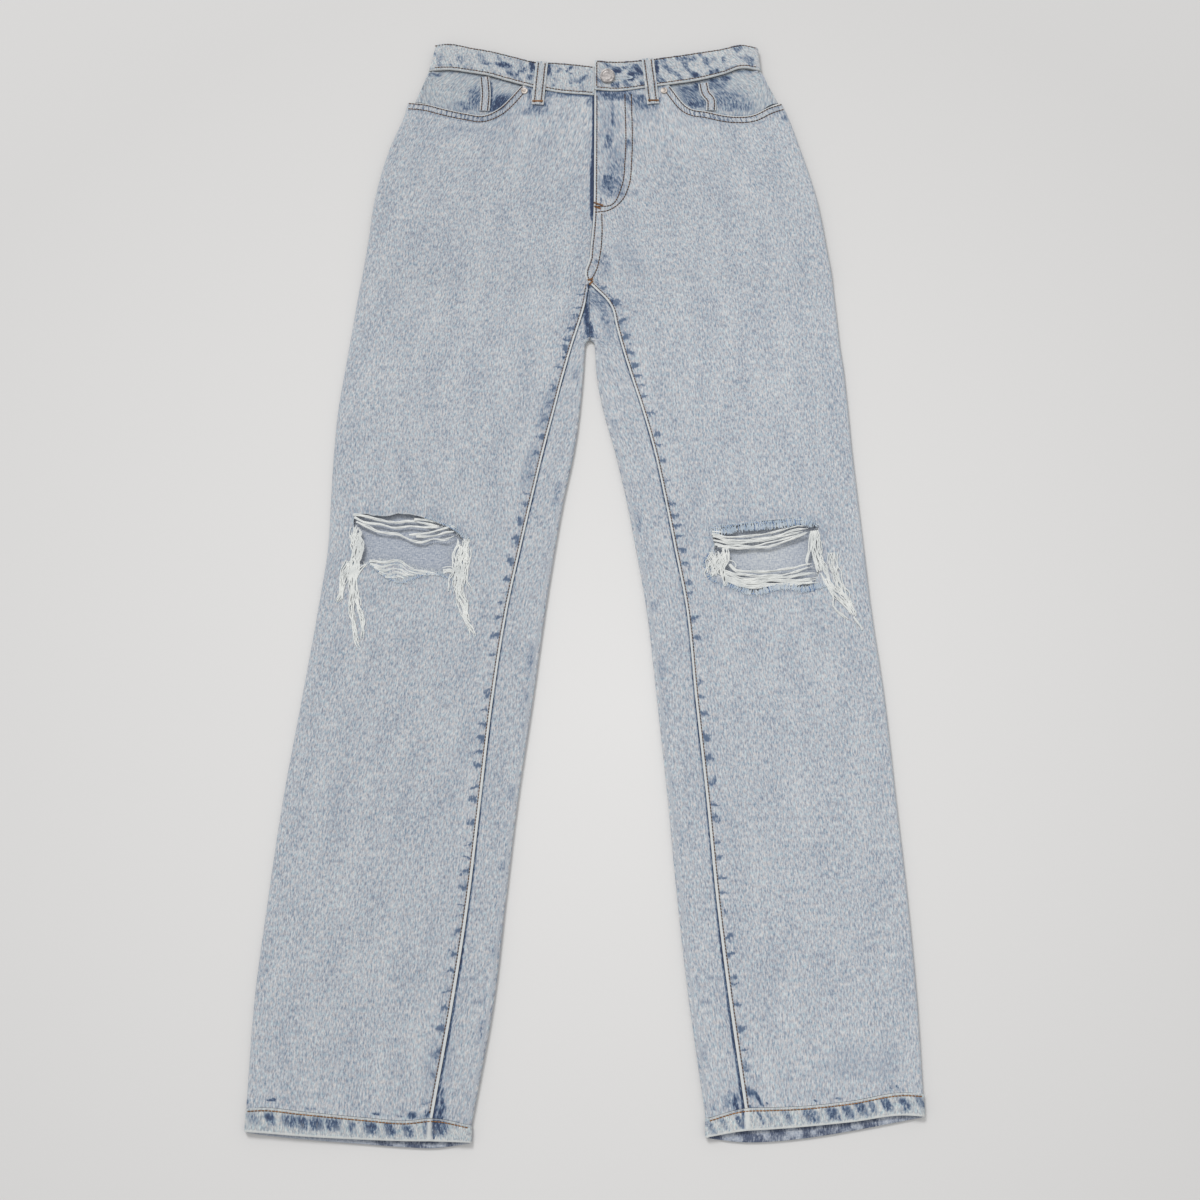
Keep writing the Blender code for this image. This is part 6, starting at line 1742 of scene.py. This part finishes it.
# Per group: its leg, then its bundles as (yarns, spread, waviness, path)
STRANDS = {
    "knee_left_upper_threads": ("left", [
        (4, 1.2, 0.35, [(-219.8, 37.4), (-205.6, 35.8), (-192.3, 31.8), (-180.9, 30.4),
            (-165.8, 31.4), (-146.8, 27.8), (-135, 25.4)]),
        (4, 1.1, 0.35, [(-218.8, 34.7), (-209.2, 30.4), (-193.6, 27.8), (-180.7, 24.9),
            (-166.6, 26), (-147.7, 24.9), (-132.6, 25.4)]),
        (4, 1.2, 0.4, [(-216.8, 30.4), (-205.3, 25.4), (-195.7, 20.8), (-175.8, 17.9),
            (-162.5, 11.6), (-154, 10.3), (-143.7, 13.3), (-132.3, 12.3), (-122.1, 16.3)]),
        (3, 0.9, 0.3, [(-166.4, 17.3), (-148.5, 19.6), (-132.6, 24.4), (-126, 25.4)]),
        (3, 0.9, 0.3, [(-159.7, 15.3), (-143.7, 16.3), (-132.5, 19.6), (-122.1, 20.8)]),
        (4, 1.3, 0.35, [(-162, 32.4), (-146.9, 31.9), (-132.7, 28.4), (-121.2, 22.8)]),
    ]),
    "knee_left_lower_threads": ("left", [
        (4, 1.1, 0.4, [(-203.2, -9.1), (-188.2, -10.1), (-177, -8.4), (-169.3, -12.5),
            (-162.7, -16.5), (-150.4, -19.5), (-136.3, -22.9)]),
        (4, 1.1, 0.4, [(-202.2, -11.6), (-191.8, -15), (-181.5, -12.4), (-174, -13),
            (-168.3, -17.5), (-160.7, -20.5), (-147.5, -21.5)]),
        (4, 1.1, 0.4, [(-198.4, -15), (-188.9, -18.5), (-179.6, -16.3), (-173, -17.5),
            (-167.2, -21.5), (-158.7, -23.4)]),
        (4, 1.1, 0.4, [(-193.5, -19.5), (-185.9, -22.5), (-177.6, -20.3), (-171, -22),
            (-165.2, -25.4)]),
        (4, 1.1, 0.4, [(-187.8, -24.4), (-180.2, -24.9), (-174.6, -24.4), (-168.9, -27.4)]),
    ]),
    "knee_left_outer_fringe": ("left", [
        (24, 5.8, 1, [(-216.2, 28.4), (-216.8, 16.3), (-214, 3.4), (-216.3, -10.6),
            (-217.8, -23.4), (-217.7, -38.2)]),
        (9, 3.6, 1.1, [(-223, -8.6), (-226.2, -23.4), (-228.6, -36.3), (-229.6, -45.1),
            (-231.8, -51)]),
        (7, 2.9, 0.8, [(-217.5, -14), (-218.5, -28.4), (-218.3, -48.1), (-216.3, -67.6),
            (-211.3, -90), (-210.2, -95.8)]),
        (7, 2.7, 0.8, [(-216, -16), (-215.6, -33.3), (-212.6, -52), (-207.2, -68.6),
            (-207.6, -87.8)]),
        (2, 0.5, 0.3, [(-214, -23.4), (-209.6, -16.5), (-204.6, -11.1)]),
        (2, 0.5, 0.3, [(-213.8, -17.5), (-208.7, -13.5), (-205, -11.6)]),
        (1, 0, 0.2, [(-213.4, -42.2), (-210.4, -47.1), (-210.3, -52), (-213, -54)]),
    ]),
    "knee_left_inner_fringe": ("left", [
        (30, 8, 1.4, [(-114.2, 16.3), (-114.8, 5.4), (-116.9, -8.6), (-117.1, -20.5),
            (-118.8, -32.3), (-119, -42.2)]),
        (7, 3.2, 1, [(-119, -22), (-119.6, -40.2), (-115.1, -54.2), (-112.7, -64.3),
            (-106.1, -76.6), (-103.3, -86.7)]),
        (5, 2.4, 0.8, [(-116, -20), (-116.3, -40.2), (-110.8, -53), (-111.2, -61.8),
            (-105.6, -74.5)]),
        (8, 3.4, 0.8, [(-133.5, -19.2), (-126.5, -18), (-121.3, -20.5)]),
    ]),
    "knee_right_upper_threads": ("right", [
        (2, 1.2, 0.35, RIGHT_UPPER_EDGE),
        (3, 1, 0.35, [(119, 18.3), (130.9, 15.2), (147.2, 16), (167.8, 18.3), (185.1, 22.3),
            (201.4, 26), (211.3, 26.4)]),
        (3, 1, 0.35, [(120.1, 16), (130.8, 12.5), (147.1, 11.9), (165.5, 13.7), (182.8, 17.1),
            (199.3, 22.3), (211.8, 23.4)]),
        (4, 1.1, 0.35, [(120.5, 11.9), (134.1, 9.1), (156.8, 10.8), (174.2, 13.7), (190.5, 17.1),
            (206.8, 21.1)]),
        (3, 0.8, 0.35, [(121.6, 7.9), (130.7, 6.2), (144.8, 6.8), (158.8, 6.4), (175.6, 10.7),
            (192.7, 14.8), (209.8, 19.8)]),
        (4, 1, 0.35, [(124.3, 5.7), (141.5, 4.3), (158.8, 4.9), (174, 6.2), (188.1, 10.8),
            (202.3, 16.5), (211.1, 19.4)]),
    ]),
    "knee_right_lower_threads": ("right", [
        (4, 1, 0.4, [(135.3, -12.1), (141.1, -18.3), (149.7, -19.1), (164.8, -19.5),
            (179.8, -18.3), (195, -15.5), (205.8, -13.1), (214.5, -12.1)]),
        (4, 1, 0.4, [(131.2, -18.6), (137.8, -21.2), (151.8, -22.8), (167.9, -23.4), (184, -22.8),
            (194.6, -20.5), (205.7, -16.6), (215.5, -13.1)]),
        (6, 1.6, 0.4, [(131.8, -20.6), (138.8, -23.9), (144.2, -26.6), (155.9, -27.2),
            (164.6, -25.2), (173.3, -24.5), (187.2, -25.4), (196.3, -23.4), (206.7, -22),
            (218.9, -20)]),
        (7, 2, 0.4, [(131.5, -24.5), (138.2, -27.4), (149.3, -30.4), (160.6, -30.2), (172.8, -28),
            (186.8, -28.9), (200.9, -28.4), (217.8, -26.4)]),
        (8, 1.8, 0.4, [(132.5, -27.6), (142.8, -31.6), (152, -34.2), (160.4, -34.8),
            (168.9, -32.8), (182.1, -32.3), (200.8, -31.3), (219.6, -28.9)]),
    ]),
    "knee_right_inner_fringe": ("right", [
        (26, 8.5, 2.6, [(124.6, 2.4), (123, -8.6), (121.5, -18.5), (122.3, -25.4)]),
        (9, 3.4, 1.1, [(130.7, 4), (131.6, -7.5), (129.3, -16.6), (130.1, -27.9),
            (131.7, -35.3)]),
        (1, 0, 0.2, [(134.8, -8.1), (139.6, -10.3), (141.1, -14.3), (138.4, -16.6)]),
    ]),
    "knee_right_outer_fringe": ("right", [
        (2, 0.5, 0.3, [(213.3, 21.1), (210.9, 11.3), (210.1, 4), (207.6, -7.5), (206.9, -12.1)]),
        (2, 0.5, 0.3, [(214.9, 20), (213.1, 13.1), (212.3, 6.2), (209.2, -6.3), (207.4, -13.1)]),
        (6, 1.8, 0.6, [(216.5, 21.1), (215.1, 9.6), (213.8, 1.7), (216.6, -12.1),
            (219.6, -21.2)]),
        (11, 4.6, 1.1, [(215.9, 21.3), (218.8, 6.3), (220.2, -8.6), (221.7, -20.5)]),
        (9, 4.6, 1.1, [(232.7, -0.6), (233.6, -14.5), (235.7, -24.4), (240.8, -38.2), (246, -50),
            (249.4, -60.8), (251.1, -65.7)]),
        (3, 1.2, 0.6, [(220.7, -21.2), (224.7, -29.1), (229.8, -38.1), (231.7, -46),
            (231.5, -51.6), (236.6, -59.5), (246, -67.4)]),
        (5, 2, 0.8, [(225.3, -26.4), (229.6, -38.1), (237, -46), (244.3, -55), (250.4, -62.9)]),
        (5, 2, 0.8, [(223.8, -13.5), (227, -24.5), (233, -35.9), (240.4, -41.5), (247.6, -49.4),
            (251.8, -53)]),
        (3, 0.6, 0.4, [(250.2, -63.7), (255.4, -71.8), (258.9, -78)]),
        (1, 0, 0.2, [(221.1, -7.5), (226.3, -13.1), (226.7, -18.9), (225.4, -23.4)]),
    ]),
}

# Waves of a yarn's course: cell in millimetres, share of the bundle's waviness
YARN_WAVES = ((26, 0.95), (11, 0.34), (4.5, 0.07))
# How far yarns hang into the tear, at the upper edge and elsewhere, and their lowest height
UPPER_SAG, SAG, LOWEST_YARN = 1.9, 1, 2.1
FRAY_FIBRES, WHITE_SHARE, BLUE_SHARE = 380, 0.6, 0.1


def strand_group(name, side, rows, seed):
    """Loose weft yarns that share a course and stray from it."""
    rng = np.random.default_rng(seed)
    leg, group = LEGS[side], Threads()
    fringe = "fringe" in name
    for number, spread, wave, path in rows:
        middle = resample(path, 1.8)
        run = run_of(middle)
        turned = normals_of(middle, 1)
        body = number > 11
        for k in range(number):
            start = rng.uniform(0, 0.25) if body else 0
            end = rng.uniform(0.7, 1) if body else rng.uniform(0.9, 1)
            use = (run >= start * run[-1]) & (run <= end * run[-1])
            share = run[use] / run[-1]
            off = spread * (2 * (k + 0.5) / number - 1) * (0.75 + 0.25 * np.sin(
                np.pi * share + rng.uniform(0, 3)))
            off = off + body * 0.55 * spread * rng.normal() * (share - start) ** 2
            for cell, amount in YARN_WAVES:
                off = off + wave * amount * np.sin(2 * np.pi * run[use] / (
                    cell * rng.uniform(0.8, 1.3)) + rng.uniform(0, 2 * np.pi))
            spot = middle[use] + turned[use] * off[:, None]
            z = top_z(leg, spot[:, 0], spot[:, 1]) + CLOTH / 2 + 0.4
            z = z + 0.7 * rng.uniform(0, 1) * bell(share, 0.45, 0.4) + 0.15 * np.sin(
                run[use] / rng.uniform(1.6, 3))
            if not fringe:
                z = z - (UPPER_SAG if "upper" in name else SAG) * np.sin(np.pi * share) ** 1.4
            radius = rng.uniform(0.42, 0.62) * np.where(share > end - 0.06, 0.6, 1)
            group.tube(np.column_stack([spot, np.maximum(z, LOWEST_YARN)]), radius)
    return group


for k, (name, (side, rows)) in enumerate(STRANDS.items()):
    yarns = strand_group(name, side, rows, 200 + k)
    yarns.add(name + "_yarns", WEFT, nodes=[name])

# Edges where the warp's cut ends show: its leg, half-width, then the path
WARP_EDGES = {
    "left_lower": ("left", 2.2, [(-203.3, -11), (-192.7, -20), (-183.1, -26.9), (-173.7, -29.9),
        (-162.5, -26.9), (-153.2, -22.9), (-143.9, -21.5), (-136.4, -22.9), (-127.9, -25.9)]),
    "left_upper": ("left", 1.7, [(-152, 35.4), (-140, 30.8), (-130, 26.2), (-121, 20.6),
        (-114.8, 14.6)]),
    "right_upper": ("right", 4.4, RIGHT_UPPER_EDGE),
    "right_top": ("right", 1.4, [(118.2, 24), (128.8, 24.9), (142, 27.5), (152.9, 29.2),
        (169.2, 29.8), (185.5, 30.9), (193.2, 32.6), (207.2, 32.1), (213.7, 29.8),
        (218.4, 25.2)]),
    "right_lower": ("right", 3.4, [(133.4, -32.5), (140.8, -35.4), (149.4, -39.3), (157.9, -41),
        (166.6, -39.3), (175.3, -36.5), (190.3, -35.4), (205.3, -37.6), (216.1, -34.8),
        (223.1, -32.5)]),
    "right_inner": ("right", 1.8, [(117.2, -1.2), (112.3, -7.1), (111.8, -14), (114.2, -20.7),
        (116.7, -26.9), (123.8, -29.7)]),
}
for name, (side, half, path) in WARP_EDGES.items():
    rng = np.random.default_rng(len(name))
    yarns, pale, middle = Threads(), Threads(), resample(path, 1)
    height = on_front(LEGS[side], 0.12)
    turned = normals_of(middle, 1)
    wander = 0.5 * noise(middle[:, 0], middle[:, 1], 5, 97)
    if name != "right_upper":
        line = middle + turned * wander[:, None]
        yarns.tube(np.column_stack([line, height(*line.T)]), 0.42)
    for spot, out in zip(*np.repeat([middle, turned], 2 if half < 3 else 4, axis=1)):
        spot = spot + rng.normal(0, 0.35, 2)
        length = half * rng.uniform(0.3, 1.25)
        tilt = rng.normal(0, 0.5) * np.array([out[1], -out[0]])
        ends = np.array([spot - (out + tilt) * length, spot + (out - tilt) * length * 0.7])
        own = yarns if rng.uniform() < BLUE_SHARE else pale
        own.tube(np.column_stack([ends, height(*ends.T) + rng.uniform(0.1, 0.5)]), 0.3, 4)
    pale.add("warp_ends_" + name, PALE_YARN)
    yarns.add("warp_edge_" + name, BLUE_YARN)


def fray(side, seed):
    """Short fibres that stand out of the torn edges."""
    rng = np.random.default_rng(seed)
    outline, leg = TORN[side], LEGS[side]
    closed = np.vstack([outline, outline[:1]])
    run = run_of(closed)
    centre = outline.mean(axis=0)
    white, blue = Threads(), Threads()
    for _ in range(FRAY_FIBRES):
        at = rng.uniform(0, run[-1])
        spot, ahead = (np.array([np.interp(at + by, run, closed[:, 0]),
                                 np.interp(at + by, run, closed[:, 1])]) for by in (0, 1))
        inward = np.array([spot[1] - ahead[1], ahead[0] - spot[0]])
        inward /= max(np.linalg.norm(inward), 1e-6)
        if inward @ (centre - spot) < 0:
            inward = -inward
        angle = rng.normal(0, 0.6)
        c, s = np.cos(angle), np.sin(angle)
        way = np.array([c * inward[0] - s * inward[1], s * inward[0] + c * inward[1]])
        length = rng.uniform(1, 3.8)
        if spot[0] < -150 and spot[1] > 20:
            continue        # the clean edge over the left knee
        t = np.linspace(0, 1, 5)[:, None]
        aside = np.array([-way[1], way[0]]) * rng.uniform(-1.2, 1.2)
        place = spot - way + way * t * (length + 1) + aside * t**2
        z = top_z(leg, spot[0], spot[1]) + rng.uniform(-0.3, 0.7) - t[:, 0] * rng.uniform(0, 1)
        own = white if rng.uniform() < WHITE_SHARE else blue
        own.tube(np.column_stack([place, z]), 0.2 * (1.1 - 0.6 * t[:, 0]), 4)
    white.add("fray_white_" + side, WEFT)
    blue.add("fray_blue_" + side, PALE_YARN)


fray("left", 301)
fray("right", 302)

# ---------------------------------------------------------------- metal


def turned_piece(name, profile, sides, place, made_material, node, tilt=0):
    """A turned head about +Z from (radius, height) rows, tilted towards the hems."""
    points = [(0, 0, profile[0][1])]
    angles = 2 * np.pi * np.arange(sides) / sides
    for radius, height in profile:
        points += [(radius * np.cos(a), radius * np.sin(a), height) for a in angles]
    points.append((0, 0, profile[-1][1]))
    faces = []
    last = 1 + (len(profile) - 1) * sides
    for k in range(sides):
        n = (k + 1) % sides
        faces.append([0, 1 + n, 1 + k])
        for a in range(1, last, sides):
            faces.append([a + k, a + n, a + sides + n, a + sides + k])
        faces.append([len(points) - 1, last + k, last + n])
    c, s = np.cos(np.radians(tilt)), np.sin(np.radians(tilt))
    points = np.array(points) @ np.array([[1, 0, 0], [0, c, s], [0, -s, c]]) + np.array(place)
    return add_mesh(name, points, faces, made_material, nodes=[node])


# Profiles from the middle of the underside round to the top: radius, height
BUTTON_PROFILE = [(0.3, -1.2), (0.3, 0), (0.86, 0), (0.97, 0.3), (1, 0.8), (0.985, 1.3),
                  (0.94, 1.75), (0.88, 2), (0.82, 2.05), (0.78, 1.9), (0.75, 1.65), (0.6, 1.6),
                  (0.56, 1.75), (0.5, 1.8), (0.46, 1.7), (0.2, 1.72)]      # in button radii
RIVET_PROFILE = [(3.4, 0), (3.4, 0.35), (3.15, 0.65), (2.6, 0.75), (2.1, 0.6), (1.7, 0.65),
                 (1.2, 1.05), (0.6, 1.2)]
tip = BUTTON_RADIUS * np.sin(np.radians(BUTTON_TILT))
base = BAND_HIGH + BAND / 2 + SEAM_GAP
turned_piece("shank_button", [(BUTTON_RADIUS * share, z) for share, z in BUTTON_PROFILE], 48,
             (*BUTTON_AT, base + tip), BUTTON_METAL, "button", BUTTON_TILT)
for name, (x, y) in RIVETS.items():
    z = float(front_z(x, y)) + CLOTH / 2 + SEAM_GAP
    turned_piece(name + "_head", RIVET_PROFILE, 28, (x, y, z), RIVET_METAL, name)

# ---------------------------------------------------------------- pieces that lie on each leg

for side in LEGS:
    on_it = [name + "_yarns" for name, (own, _) in STRANDS.items() if own == side]
    on_it += [word + name for name, (own, _, _) in WARP_EDGES.items() if own == side
              for word in ("warp_edge_", "warp_ends_")]
    on_it += ["stitching_front_" + side, "fray_white_" + side, "fray_blue_" + side,
              "rivet_" + side + "_head"]
    on_it += ["bar_tacks_fly", "shank_button"] if side == "right" else []
